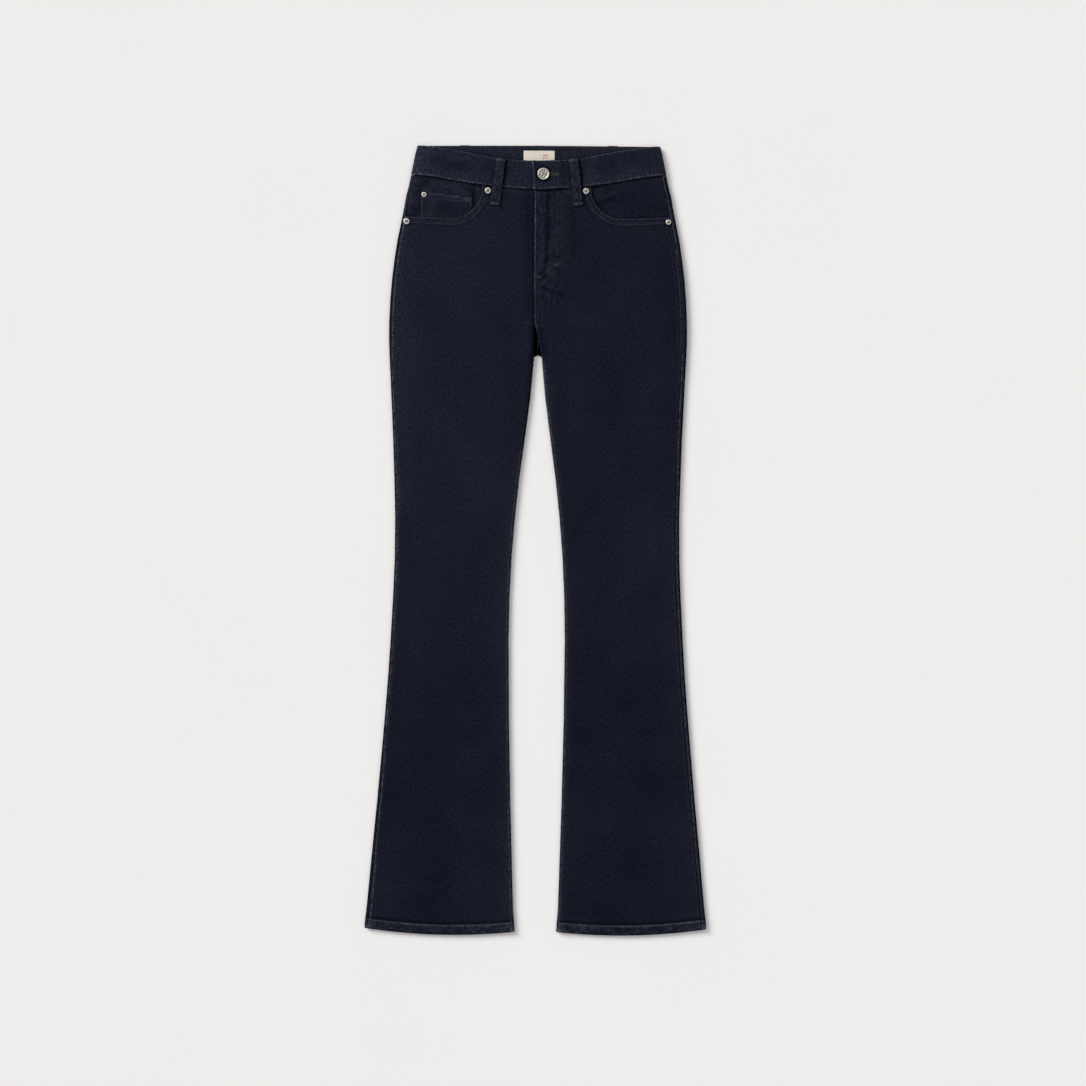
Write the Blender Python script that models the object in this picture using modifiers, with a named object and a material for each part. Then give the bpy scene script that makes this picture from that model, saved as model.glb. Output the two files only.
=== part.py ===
"""Bootcut jeans laid flat, face up, with the waist towards +Y and the wearer's left side towards +X.

Every piece that a maker cuts and sews on is its own object. The cloth is modelled as thin walls: a leg is a
flattened tube whose back panel wraps round both folded edges, up to the side seam and the inseam. Lengths in
the tables are millimetres. "Across" is the distance from the centre line towards the piece's own side, and
"height" is the distance along the garment from its middle towards the waist.
"""
import math

import bmesh
import bpy
import numpy as np

MM = 0.001

# Cloth and seams
CLOTH = 1.2
HEM_WALL = 2.4
LINING_WALL = 1.0
BAND_WALL = 2.4
SEAM_GAP = 0.3
HALF_GAP = SEAM_GAP / 2
INSEAM_GAP_SHARE = 0.37

# Waist, yoke and hem
WAIST_SIDE = 518.0
YOKE_SIDE = 487.0
YOKE_CENTRE = 455.0
YOKE_RISE_TO = 188.0
BACK_BAND_TOP = 559.9
BACK_BAND_BOTTOM = 519.0
YOKE_WRAP_GAP = 1.0
BAND_SIDE_TOP = 559.0
HEM_EDGE = -551.0
HEM_STITCH = -538.0
HEM_DROP_INNER = 4.7
HEM_DROP_LOWEST = 9.5
HEM_LOWEST_AT = 0.42

# Rows bend with the seam above them down to these heights, and with the hem up to this one
FRONT_WARP_FROM = 380.0
BACK_WARP_FROM = 330.0
HEM_WARP_TO = -440.0

# Where the seams lie on the upper side, in from the folded edge
SIDE_SEAM_INSET = {"right": 4.0, "left": 6.5}

# Sections from waist to hem: height along the garment, half width to the outer fold, height of the underside,
# thickness at the folded edge, thickness in the middle of the leg, and the wall of the cloth itself
SECTION_COLUMNS = ("height", "outer", "lift", "edge", "middle", "wall")
SECTIONS = (
    (559.0, 172.2, 1.5, 5.3, 5.3, CLOTH),
    (547.0, 175.4, 1.5, 5.3, 5.3, CLOTH),
    (518.0, 181.2, 1.5, 5.3, 5.3, CLOTH),
    (502.0, 184.4, 1.5, 5.3, 5.3, CLOTH),
    (487.0, 188.2, 1.5, 5.3, 5.3, CLOTH),
    (470.0, 191.0, 1.5, 5.3, 5.3, CLOTH),
    (454.8, 194.1, 1.5, 5.3, 5.3, CLOTH),
    (426.4, 199.8, 1.5, 5.5, 5.3, CLOTH),
    (398.0, 204.2, 1.5, 5.8, 5.0, CLOTH),
    (369.6, 207.5, 1.5, 6.1, 4.8, CLOTH),
    (341.2, 209.8, 1.5, 6.2, 4.6, CLOTH),
    (310.0, 211.3, 1.5, 6.2, 4.5, CLOTH),
    (284.4, 211.4, 1.2, 6.2, 4.4, CLOTH),
    (261.0, 210.6, 0.8, 6.2, 4.4, CLOTH),
    (240.0, 209.6, 0.4, 6.2, 4.4, CLOTH),
    (199.2, 207.6, 0.0, 6.2, 4.4, CLOTH),
    (142.4, 205.0, 0.0, 6.2, 4.4, CLOTH),
    (85.6, 203.0, 0.0, 6.2, 4.4, CLOTH),
    (28.8, 201.6, 0.0, 6.2, 4.4, CLOTH),
    (-28.0, 202.0, 0.0, 6.2, 4.4, CLOTH),
    (-84.8, 204.3, 0.0, 6.2, 4.4, CLOTH),
    (-141.6, 207.3, 0.0, 6.2, 4.4, CLOTH),
    (-198.4, 210.9, 0.0, 6.2, 4.4, CLOTH),
    (-255.2, 215.3, 0.0, 6.2, 4.4, CLOTH),
    (-312.0, 220.2, 0.0, 6.2, 4.4, CLOTH),
    (-368.8, 225.2, 0.0, 6.2, 4.4, CLOTH),
    (-425.6, 230.7, 0.0, 6.2, 4.4, CLOTH),
    (-482.4, 236.0, 0.0, 6.2, 4.6, CLOTH),
    (-520.0, 239.4, 0.0, 6.3, 4.9, CLOTH),
    (-537.2, 241.2, 0.0, 6.4, 5.2, CLOTH),
    (HEM_STITCH, 241.5, 0.0, 6.8, 5.8, HEM_WALL),
    (HEM_EDGE, 242.4, 0.0, 6.8, 5.8, HEM_WALL),
)

# Inner edge of each front, from the fly to the hem: height, edge of the right and of the left front, and
# how far the cloth curls under at the inner fold, in degrees. The left front crosses the centre at the fly.
FRONT_INNER = (
    (518.0, 1.3, -6.3, 0.0),
    (360.0, 1.3, -6.3, 0.0),
    (350.0, 6.6, -6.3, 0.0),
    (310.0, 6.1, -5.6, 0.0),
    (284.4, 5.7, -0.2, 50.0),
    (261.0, 5.3, 5.3, 110.0),
    (240.0, 7.1, 7.1, 110.0),
    (199.2, 10.9, 10.9, 95.0),
    (142.4, 18.3, 18.3, 35.0),
    (85.6, 25.9, 25.9, 26.0),
    (28.8, 31.9, 31.9, 26.0),
    (-28.0, 36.4, 36.4, 26.0),
    (-84.8, 38.9, 38.9, 26.0),
    (-141.6, 39.8, 39.8, 26.0),
    (-255.2, 38.8, 38.8, 26.0),
    (-368.8, 36.4, 36.4, 26.0),
    (-482.4, 33.0, 33.0, 26.0),
    (-520.0, 31.8, 31.8, 26.0),
    (HEM_STITCH, 30.4, 30.4, 26.0),
    (HEM_EDGE, 29.3, 29.3, 26.0),
)

# The back stays whole down to the crotch, and its inner edge turns up into the inseam below it
CROTCH = ((266.0, HALF_GAP), (263.0, 1.3), (261.0, 3.2), (260.0, 5.3))
CROTCH_HEIGHT = 261.0
BACK_CURL_START = 258.0
BACK_CURL_FULL = 240.0

# Largest soft folds of the fronts: start and end of the fold, its half width, and its height (minus is a
# trough). They fade out towards the hips.
FOLDS_GONE_AT = 470.0
FOLDS_FADE = 40.0
FOLDS = (
    (-11.5, 324.0, -37.0, 287.0, 8.0, -0.8),
    (-61.0, 267.0, -153.0, 220.0, 18.0, -0.6),
    (-72.0, 114.0, -55.0, 7.0, 14.0, -0.6),
    (-95.0, -28.0, -80.0, -156.0, 14.0, -0.4),
    (-152.0, -397.0, -122.0, -433.0, 16.0, -0.8),
    (96.0, 78.0, 57.0, 7.0, 12.0, -0.7),
    (132.0, -28.0, 75.0, -95.0, 12.0, -0.8),
    (125.0, -130.0, 71.0, -181.0, 12.0, -0.8),
    (165.0, -326.0, 148.0, -350.0, 12.0, -0.5),
    (84.0, -411.0, 137.0, -465.0, 16.0, -0.7),
    (137.0, -465.0, 187.0, -492.0, 14.0, -0.5),
)

# Waistband edges on the front, each as across and height
TOP_EDGE_REACH = 169.0
WAIST_SEAM_REACH = 178.0
FRONT_TOP_EDGE = (
    (0.0, 538.0), (30.0, 539.0), (60.0, 542.0), (90.0, 547.7), (120.0, 553.2), (150.0, 557.2),
    (TOP_EDGE_REACH, 559.0),
)
FRONT_WAIST_SEAM = (
    (0.0, 496.4), (30.0, 498.2), (60.0, 500.9), (90.0, 504.6), (120.0, 509.7), (150.0, 514.8),
    (WAIST_SEAM_REACH, 518.0),
)

# Waistband layers: the middle of its wall at the back, on the front, and where the ends overlap
BAND_BACK_LEVEL = 2.7
BAND_FRONT_LEVEL = 6.7
BAND_OVERLAP_LEVEL = 9.4
UNDERLAP_END = 0.155
OVERLAP_FLAT_TO = 0.162
OVERLAP_SLOPE_TO = 0.235
OVERLAP_END_TOP = -0.056
OVERLAP_END_BOTTOM = -0.038
BAND_REACH_AT = 540.0

# Fly: the left front's edge is raised over the right front, which runs under it
FLY_RAISE = 1.5
FLY_RAISE_TO = 2.0
FLY_SLOPE_TO = 11.0
FLY_END = 335.0
FLY_FULL = 350.0
FLY_DEPTH = 5.3
FLY_HALF_WIDTH = 32.0
FLY_BLEND_WIDTH = 60.0

# Pocket mouth: a quarter circle from the waist seam, then a nearly level line to the side seam
MOUTH_RADIUS = 44.0
MOUTH_INNER = {"right": 80.5, "left": 74.5}
MOUTH_LEVEL = 456.0
MOUTH_RISE = 0.04
MOUTH_ARC_POINTS = 10
MOUTH_PAST_SIDE = 215.0
MOUTH_PAST_TOP = 530.0
MOUTH_CUT_Z = (3.0, 10.0)
FACING_INNER = 60.0
FACING_BOTTOM = 438.0
FACING_TOP_GAP = 0.7
FACING_LOW = 3.5
FACING_HIGH = 5.4
FACING_SLOPE_START = 2.0
FACING_SLOPE_END = 20.0

# Coin pocket corners, as across and height: outer top, inner top, inner bottom, outer bottom
COIN_POCKET = ((167.0, 493.6), (94.6, 485.2), (98.0, 441.0), (167.0, 441.0))
COIN_OFFSET = LINING_WALL + SEAM_GAP
COIN_COLUMNS = 9
COIN_ROWS = 6

# Back pocket outline, as across and height
BACK_POCKET = (
    (30.0, 446.0), (163.0, 452.0), (157.0, 328.0), (152.0, 322.0), (97.0, 303.5), (42.0, 319.0), (36.5, 325.0),
)

# Belt loops
LOOP_WIDTH = 14.0
LOOP_LENGTH = 67.0
FRONT_LOOPS = {
    "right": ((-53.7, 541.3), (-62.3, 474.6)),
    "left": ((48.9, 541.3), (56.4, 474.6)),
}
BACK_LOOPS = {"right": -105.0, "centre": 0.0, "left": 105.0}
BACK_LOOP_TOP = 560.5
# Side view of a front loop: distance down from its top end and height over the table. Its ends are folded
# under.
LOOP_PROFILE = (
    (0.0, 8.2), (8.0, 8.2), (8.6, 9.5), (22.0, 10.0), (38.0, 9.8), (58.4, 8.5), (59.0, 7.1), (67.0, 7.1),
    (67.0, 9.6), (59.0, 10.0), (40.0, 11.3), (22.0, 11.5), (8.0, 11.0), (0.0, 10.7),
)

# Metal
BUTTON_AT = (6.6, 518.9)
BUTTON_PROFILE = (
    (0.0, 13.0), (5.4, 13.0), (6.2, 13.6), (7.3, 13.9), (8.2, 13.4), (8.5, 12.4), (8.1, 11.3), (7.0, 10.9),
    (3.2, 10.9), (3.2, 8.2), (0.0, 8.2),
)
BUTTONHOLE_EYE = 3.7
BUTTONHOLE_SLOT = 1.0
BUTTONHOLE_END = 26.0
BUTTONHOLE_Z = (8.05, 11.5)
BUTTONHOLE_POINTS = 17
BUTTON_STEPS = 28
RIVET_STEPS = 16
RIVET_PROFILE = ((0.0, 1.7), (1.3, 1.5), (1.8, 1.0), (3.4, 1.1), (4.5, 0.7), (4.7, 0.0), (0.0, 0.0))
# Rivets: across, height, level of their seat and size against the largest one
RIVETS = {
    "rivet_right_mouth_inner": (-71.9, 495.5, 7.1, 1.0),
    "rivet_right_mouth_outer": (-187.2, 451.5, 7.15, 1.0),
    "rivet_coin": (-162.5, 489.4, 7.5, 0.82),
    "rivet_left_mouth_inner": (67.1, 495.4, 7.1, 1.0),
    "rivet_left_mouth_outer": (184.3, 451.8, 7.15, 1.0),
}

# Flat plates: lowest and highest x, y and z
SIZE_LABEL = ((-21.5, 22.5), (526.5, 552.6), (4.2, 5.2))
FLY_SHIELD = ((-14.0, 26.0), (366.0, 496.0), (3.0, 4.0))
FLY_ZIP = ((-13.0, 12.0), (374.0, 495.6), (4.3, 5.3))
UNDERSIDE_LAYER = (0.0, CLOTH)

# Columns of the lofted walls
FRONT_FRACTIONS = (1.0, 0.93, 0.85, 0.76, 0.66, 0.56, 0.46, 0.36, 0.26, 0.17, 0.10, 0.064, 0.040, 0.016, 0.0)
BACK_FRACTIONS = (1.0, 0.86, 0.72, 0.57, 0.42, 0.28, 0.14, 0.0)
TAIL_SHARES = (0.35, 0.65, 0.92, 1.0)
FRONT_TAIL = 5.2
BACK_TAIL = 7.0
FOLD_SEGMENTS = 4
YOKE_ROWS = 3
YOKE_WRAPPED_COLUMNS = 3
BAND_ROWS = 3
BAND_RIGHT_COLUMNS = 12
BAND_BACK_COLUMNS = 13
BAND_LEFT_SHARES = (1.0, 0.85, 0.7, 0.56, 0.43, 0.33, OVERLAP_SLOPE_TO)
BAND_OVERLAP_SHARES = (OVERLAP_FLAT_TO, 0.1, 0.04, OVERLAP_END_TOP)
FACING_COLUMNS = 10
FACING_ROWS = 7
EDGE_FLAT = 3.5
EDGE_FALL = 14.0
ROUND_FOLD_CURL = 60.0

# Where the fly ends, each front has three rows in place of one section
FRONT_EXTRA_HEIGHTS = (360.0, 350.0, 335.0)
FRONT_HEIGHT_LEFT_OUT = 341.2
MERGE_DISTANCE = 0.00001

SIGN = {"right": -1.0, "left": 1.0}

# Colours, roughness and metallic value of the materials
MATERIALS = {
    "denim": ((0.0105, 0.0125, 0.0215), 0.85, 0.0),
    "facing_denim": ((0.0115, 0.0140, 0.0240), 0.85, 0.0),
    "zip_tape": ((0.0100, 0.0110, 0.0160), 0.80, 0.0),
    "nickel": ((0.42, 0.40, 0.37), 0.35, 1.0),
    "label_satin": ((0.68, 0.62, 0.54), 0.55, 0.0),
}

SECTION = dict(zip(SECTION_COLUMNS, np.array(SECTIONS).T))
FRONT_HEIGHTS = sorted(
    [h for h in SECTION["height"] if h <= WAIST_SIDE and h != FRONT_HEIGHT_LEFT_OUT]
    + list(FRONT_EXTRA_HEIGHTS),
    reverse=True,
)
BACK_HEIGHTS = sorted(
    [h for h in SECTION["height"] if h <= YOKE_SIDE and h != CROTCH_HEIGHT]
    + [height for height, _ in CROTCH],
    reverse=True,
)


def from_table(rows, column, at):
    """Straight-line reading of a table whose first column falls or rises evenly."""
    table = np.array(sorted(rows))
    return np.interp(at, table[:, 0], table[:, column])


def section(name, height):
    """One column of the section table at a height."""
    return np.interp(height, SECTION["height"][::-1], SECTION[name][::-1])


def smooth_step(value, low, high):
    """0 below low, 1 above high, and a smooth rise between them."""
    t = np.clip((value - low) / (high - low), 0.0, 1.0)
    return t * t * (3.0 - 2.0 * t)


def hem_drop(share):
    """How far the hem hangs below its outer corner: a parabola through both corners and the lowest point."""
    low = HEM_LOWEST_AT
    at_inner = HEM_DROP_INNER * (share - low) * (share - 1.0) / low
    at_lowest = HEM_DROP_LOWEST * share * (share - 1.0) / (low * (low - 1.0))
    return at_inner + at_lowest


def warped(height, across, inner, outer, top_seam, top_side, warp_from):
    """Height of a row at a place across it: rows bend with the seam at the top and the hem at the bottom."""
    share = np.clip((across - inner) / (outer - inner), 0.0, 1.0)
    at_top = (top_seam(np.abs(across)) - top_side) * smooth_step(height, warp_from, top_side)
    at_hem = hem_drop(share) * (1.0 - smooth_step(height, HEM_STITCH, HEM_WARP_TO))
    return height + at_top - at_hem


def front_seam(across):
    """Top edge of a front: half a seam gap under the waistband."""
    return from_table(FRONT_WAIST_SEAM, 1, across) - HALF_GAP


def yoke_seam(across):
    """The yoke seam rises from the centre back to the sides."""
    return YOKE_CENTRE + (YOKE_SIDE - YOKE_CENTRE) * np.clip(across / YOKE_RISE_TO, 0.0, 1.0)


def back_seam(across):
    return yoke_seam(across) - HALF_GAP


def fold_relief(x, y):
    """Sum of the soft folds: each is a rounded bar, highest along its line and gone at its half width."""
    relief = np.zeros_like(x)
    for x0, y0, x1, y1, half_width, size in FOLDS:
        along = np.array((x1 - x0, y1 - y0))
        length = np.hypot(*along)
        along /= length
        t = np.clip((x - x0) * along[0] + (y - y0) * along[1], 0.0, length)
        distance = np.hypot(x - x0 - t * along[0], y - y0 - t * along[1])
        relief += size * np.exp(-((distance / half_width) ** 2))
    return relief


def top_level(side, across, height, inner, inner_fold):
    """Middle of the upper wall: highest at the folded edges, lower between them, and bent by the folds."""
    edge = section("edge", height)
    middle = section("middle", height)
    wall = section("wall", height)
    from_outer = section("outer", height) - across
    from_inner = across - inner
    rise_outer = np.exp(-((np.maximum(from_outer - EDGE_FLAT, 0.0) / EDGE_FALL) ** 2))
    rise_inner = np.exp(-((np.maximum(from_inner - EDGE_FLAT, 0.0) / EDGE_FALL) ** 2))
    rise = np.maximum(rise_outer, rise_inner * inner_fold)
    depth = middle + (edge - middle) * rise
    x = SIGN[side] * across
    depth += fold_relief(x, height) * (1.0 - rise) * smooth_step(FOLDS_GONE_AT - height, 0.0, FOLDS_FADE)
    beside_fly = smooth_step(np.abs(x), FLY_HALF_WIDTH, FLY_BLEND_WIDTH)
    depth += (FLY_DEPTH - depth) * (1.0 - beside_fly) * smooth_step(height, FLY_END, FLY_FULL)
    if side == "left":
        lifted = 1.0 - np.clip((x - FLY_RAISE_TO) / (FLY_SLOPE_TO - FLY_RAISE_TO), 0.0, 1.0)
        depth = depth + FLY_RAISE * lifted * smooth_step(height, FLY_END, FLY_FULL)
    return section("lift", height) + depth - wall / 2


def inner_tail(edge, length, radius, curl, wall, whole):
    """Distances across and down of a wall's inner end: flat first, then curling round the fold by an angle.

    The fold's centre stands back from the edge by as much as the curl reaches, or all the way on a whole
    fold."""
    angle = math.radians(curl)
    centre = edge + (radius + wall / 2) * max(math.sin(min(angle, math.pi / 2)), whole)
    flat = length - radius * angle
    along = length * np.array(TAIL_SHARES)
    turned = np.maximum(along - flat, 0.0) / radius
    across = centre + np.maximum(flat - along, 0.0) - radius * np.sin(turned)
    return centre + flat, across, radius * (1.0 - np.cos(turned))


def front_rows(side):
    """Middle surface of a front: a row for each section, from the side seam to the inner edge."""
    column = {"right": 1, "left": 2}[side]
    rows = []
    for height in FRONT_HEIGHTS:
        outer = section("outer", height)
        wall = section("wall", height)
        inner = from_table(FRONT_INNER, column, height)
        curl = from_table(FRONT_INNER, 3, height)
        radius = (section("edge", height) - wall) / 2
        whole = 1.0 if height <= CROTCH_HEIGHT else 0.0
        start, tail_across, tail_drop = inner_tail(inner, FRONT_TAIL, radius, curl, wall, whole)
        seam = outer - SIDE_SEAM_INSET[side] - HALF_GAP
        across = start + (seam - start) * np.array(FRONT_FRACTIONS)
        across = np.concatenate([across, tail_across])
        drop = np.concatenate([np.zeros(len(FRONT_FRACTIONS)), tail_drop])
        y = warped(height, across, inner, outer, front_seam, WAIST_SIDE, FRONT_WARP_FROM)
        shift = section("outer", y) - outer
        weight = np.concatenate([np.array(FRONT_FRACTIONS), np.zeros(len(TAIL_SHARES))])
        across = across + shift * weight * (height > 0.0)
        inner_fold = max(smooth_step(curl, 0.0, ROUND_FOLD_CURL), whole)
        z = top_level(side, across, height, inner, inner_fold) - drop
        rows.append(np.stack([SIGN[side] * across, y, z], axis=1))
    return np.array(rows)


def back_curl(height):
    """The back's inner edge lies flat at the crotch, then turns up until it meets the front at the inseam."""
    radius = (section("edge", height) - section("wall", height)) / 2
    gap = INSEAM_GAP_SHARE * section("wall", height)
    meeting = 180.0 - from_table(FRONT_INNER, 3, height) - math.degrees(gap / radius)
    return meeting * smooth_step(-height, -BACK_CURL_START, -BACK_CURL_FULL)


def back_inner(height):
    if height >= CROTCH[-1][0]:
        return from_table(CROTCH, 1, height)
    return from_table(FRONT_INNER, 1, height)


def wrapped_columns(side, height, seam):
    """The stretch from the side seam over the outer fold to the underside, as distances across and levels."""
    outer = section("outer", height)
    wall = section("wall", height)
    low = section("lift", height) + wall / 2
    radius = (section("edge", height) - wall) / 2
    centre = outer - wall / 2 - radius
    angles = np.linspace(0.0, math.pi, FOLD_SEGMENTS + 1)
    across = np.concatenate([[outer - seam], centre + radius * np.sin(angles)])
    level = np.concatenate([[0.0], low + radius * (1.0 + np.cos(angles))])
    level[0] = top_level(side, across[:1], height, 0.0, 0.0)[0]
    return across, level, centre, low


def back_rows(side):
    """Middle surface of a back: from the side seam, round the outer fold, under the leg to its inner edge."""
    rows = []
    for height in BACK_HEIGHTS:
        outer = section("outer", height)
        wall = section("wall", height)
        inner = back_inner(height)
        radius = (section("edge", height) - wall) / 2
        across, level, centre, low = wrapped_columns(side, height, SIDE_SEAM_INSET[side] - HALF_GAP)
        curl = back_curl(height) if height < CROTCH[-1][0] else 0.0
        whole = smooth_step(-height, -BACK_CURL_START, -BACK_CURL_FULL)
        start, tail_across, tail_rise = inner_tail(inner, BACK_TAIL, radius, curl, wall, whole)
        flat = start + (centre - start) * np.array(BACK_FRACTIONS[1:])
        across = np.concatenate([across, flat, tail_across])
        level = np.concatenate([level, np.full(len(flat), low), low + tail_rise])
        y = warped(height, across, inner, outer, back_seam, YOKE_SIDE, BACK_WARP_FROM)
        rows.append(np.stack([SIGN[side] * across, y, level], axis=1))
    return np.array(rows)


def yoke_rows(side):
    """Middle surface of a yoke: the same section as the back, from the yoke seam to the waist seam."""
    rows = []
    for row in range(YOKE_ROWS + 1):
        share = row / YOKE_ROWS
        height = YOKE_SIDE + (WAIST_SIDE - YOKE_SIDE) * share
        across, level, centre, low = wrapped_columns(side, height, SIDE_SEAM_INSET[side] - HALF_GAP)
        flat = HALF_GAP + (centre - HALF_GAP) * np.array(BACK_FRACTIONS[1:])
        across = np.concatenate([across, flat])
        level = np.concatenate([level, np.full(len(flat), low)])
        gap = np.where(np.arange(len(across)) < YOKE_WRAPPED_COLUMNS, YOKE_WRAP_GAP, HALF_GAP)
        bottom = yoke_seam(across) + HALF_GAP
        top = back_band_bottom(across) - gap
        rows.append(np.stack([SIGN[side] * across, bottom + (top - bottom) * share, level], axis=1))
    return np.array(rows)


def back_band_top(across):
    out = np.minimum(np.abs(across) / TOP_EDGE_REACH, 1.0)
    return BACK_BAND_TOP + (BAND_SIDE_TOP - BACK_BAND_TOP) * out ** 2


def back_band_bottom(across):
    out = np.minimum(np.abs(across) / WAIST_SEAM_REACH, 1.0)
    return BACK_BAND_BOTTOM + (WAIST_SIDE - BACK_BAND_BOTTOM) * out ** 2


def band_columns():
    """Share of the half width and level of each column, from the button end to the buttonhole end."""
    fold = np.linspace(0.0, math.pi, FOLD_SEGMENTS + 1)[1:-1]
    right_shares = np.linspace(UNDERLAP_END, -1.0, BAND_RIGHT_COLUMNS)
    back_shares = np.linspace(-1.0, 1.0, BAND_BACK_COLUMNS)
    columns = [("front", share, BAND_FRONT_LEVEL) for share in right_shares]
    columns += [("fold", -1.0, angle) for angle in fold]
    columns += [("back", share, BAND_BACK_LEVEL) for share in back_shares]
    columns += [("fold", 1.0, angle) for angle in fold[::-1]]
    columns += [("front", share, BAND_FRONT_LEVEL) for share in BAND_LEFT_SHARES]
    columns += [("front", share, BAND_OVERLAP_LEVEL) for share in BAND_OVERLAP_SHARES]
    return columns


def band_rows():
    """Middle surface of the waistband, one strip that wraps round both sides and overlaps itself in front."""
    radius = (BAND_FRONT_LEVEL - BAND_BACK_LEVEL) / 2
    rows = []
    for row in range(BAND_ROWS + 1):
        down = row / BAND_ROWS
        points = []
        for kind, share, level in band_columns():
            if share == OVERLAP_END_TOP:
                share = OVERLAP_END_TOP + (OVERLAP_END_BOTTOM - OVERLAP_END_TOP) * down
            reach = abs(share) * (section("outer", BAND_REACH_AT) - BAND_WALL / 2 - radius)
            if kind == "front":
                top, bottom = from_table(FRONT_TOP_EDGE, 1, reach), from_table(FRONT_WAIST_SEAM, 1, reach)
            elif kind == "back":
                top, bottom = back_band_top(reach), back_band_bottom(reach)
            else:
                top, bottom = BAND_SIDE_TOP, WAIST_SIDE
            y = top + (bottom + HALF_GAP - top) * down
            centre = section("outer", y) - BAND_WALL / 2 - radius
            if kind == "fold":
                x = math.copysign(centre + radius * math.sin(level), share)
                z = BAND_BACK_LEVEL + radius * (1.0 + math.cos(level))
            else:
                x, z = share * centre, level
            points.append((x, y, z))
        rows.append(points)
    return np.array(rows)


def mouth_depth(side, across, height):
    """Distance inside the pocket mouth's edge: a quarter circle, then a line that rises a little outwards."""
    centre = MOUTH_INNER[side] + MOUTH_RADIUS
    level = MOUTH_LEVEL + MOUTH_RISE * np.maximum(across - centre, 0.0)
    beside = np.maximum(centre - across, 0.0)
    below = np.maximum(level + MOUTH_RADIUS - height, 0.0)
    return MOUTH_RADIUS - np.hypot(beside, below)


def facing_level(side, across, height):
    """Middle of the facing: low where it passes under the mouth's edge, and higher inside the mouth."""
    inside = smooth_step(mouth_depth(side, across, height), FACING_SLOPE_START, FACING_SLOPE_END)
    return FACING_LOW + (FACING_HIGH - FACING_LOW) * inside


def facing_rows(side):
    """Middle surface of a pocket facing: from the waist seam down under the front, out to the side seam."""
    rows = []
    for row in range(FACING_ROWS + 1):
        share = row / FACING_ROWS
        height = FACING_BOTTOM + (WAIST_SIDE - FACING_BOTTOM) * share
        outer = section("outer", height) - SIDE_SEAM_INSET[side] - SEAM_GAP
        across = np.linspace(outer, FACING_INNER, FACING_COLUMNS + 1)
        y = FACING_BOTTOM + (front_seam(across) - FACING_TOP_GAP - FACING_BOTTOM) * share
        z = facing_level(side, across, y)
        rows.append(np.stack([SIGN[side] * across, y, z], axis=1))
    return np.array(rows)


def coin_rows():
    """Middle surface of the coin pocket: the right facing's points, moved out by a wall and a seam gap."""
    outer_top, inner_top, inner_bottom, outer_bottom = np.array(COIN_POCKET)
    down = np.linspace(0.0, 1.0, COIN_ROWS)[:, None, None]
    in_from_side = np.linspace(0.0, 1.0, COIN_COLUMNS)[None, :, None]
    top = outer_top + (inner_top - outer_top) * in_from_side
    bottom = outer_bottom + (inner_bottom - outer_bottom) * in_from_side
    places = top + (bottom - top) * down
    z = facing_level("right", places[..., 0], places[..., 1]) + COIN_OFFSET
    return np.stack([-places[..., 0], places[..., 1], z], axis=2)


def clear_scene():
    for obj in list(bpy.data.objects):
        bpy.data.objects.remove(obj, do_unlink=True)


def make_collection(name):
    collection = bpy.data.collections.new(name)
    bpy.context.scene.collection.children.link(collection)
    return collection


def make_material(name):
    colour, roughness, metallic = MATERIALS[name]
    material = bpy.data.materials.new(name)
    material.use_nodes = True
    shader = material.node_tree.nodes["Principled BSDF"]
    shader.inputs["Base Color"].default_value = (*colour, 1.0)
    shader.inputs["Roughness"].default_value = roughness
    shader.inputs["Metallic"].default_value = metallic
    return material


def add_object(name, data, material, collection, parent):
    obj = bpy.data.objects.new(name, data)
    collection.objects.link(obj)
    obj.parent = parent
    if material is not None:
        data.materials.append(material)
    return obj


def cloth_wall(name, rows, thickness, material, collection, parent):
    """A wall of cloth: a grid laid over the rows of points, thickened evenly to both sides by Solidify.

    Thickness is one number, or one number for each row."""
    row_count, column_count = rows.shape[:2]
    mesh = bpy.data.meshes.new(name)
    grid = bmesh.new()
    bmesh.ops.create_grid(grid, x_segments=column_count - 1, y_segments=row_count - 1, size=0.5)
    places = []
    for vertex in grid.verts:
        row = round((vertex.co.y + 0.5) * (row_count - 1))
        column = round((vertex.co.x + 0.5) * (column_count - 1))
        places.append((row, column))
        vertex.co = rows[row, column] * MM
    grid.to_mesh(mesh)
    grid.free()
    mesh.shade_smooth()
    obj = add_object(name, mesh, material, collection, parent)
    by_row = np.broadcast_to(np.asarray(thickness, float), (row_count,))
    solidify = obj.modifiers.new("wall", "SOLIDIFY")
    solidify.thickness = by_row.max() * MM
    solidify.offset = 0.0
    solidify.use_even_offset = True
    solidify.use_quality_normals = True
    if by_row.min() < by_row.max():
        group = obj.vertex_groups.new(name="thickness")
        for index, (row, _) in enumerate(places):
            group.add([index], float(by_row[row] / by_row.max()), "REPLACE")
        solidify.vertex_group = group.name
        solidify.thickness_vertex_group = 0.0
    return obj


def plate(name, outline, levels, material, collection, parent):
    """A flat piece: a filled 2D curve, extruded by half its thickness to each side."""
    low, high = levels
    curve = bpy.data.curves.new(name, "CURVE")
    curve.dimensions = "2D"
    curve.fill_mode = "BOTH"
    curve.extrude = (high - low) / 2 * MM
    spline = curve.splines.new("POLY")
    spline.points.add(len(outline) - 1)
    for point, (x, y) in zip(spline.points, outline):
        point.co = (x * MM, y * MM, 0.0, 1.0)
    spline.use_cyclic_u = True
    obj = add_object(name, curve, material, collection, parent)
    obj.location.z = (low + high) / 2 * MM
    return obj


def rectangle(x_range, y_range):
    left, right = x_range
    low, high = y_range
    return [(left, low), (right, low), (right, high), (left, high)]


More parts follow.
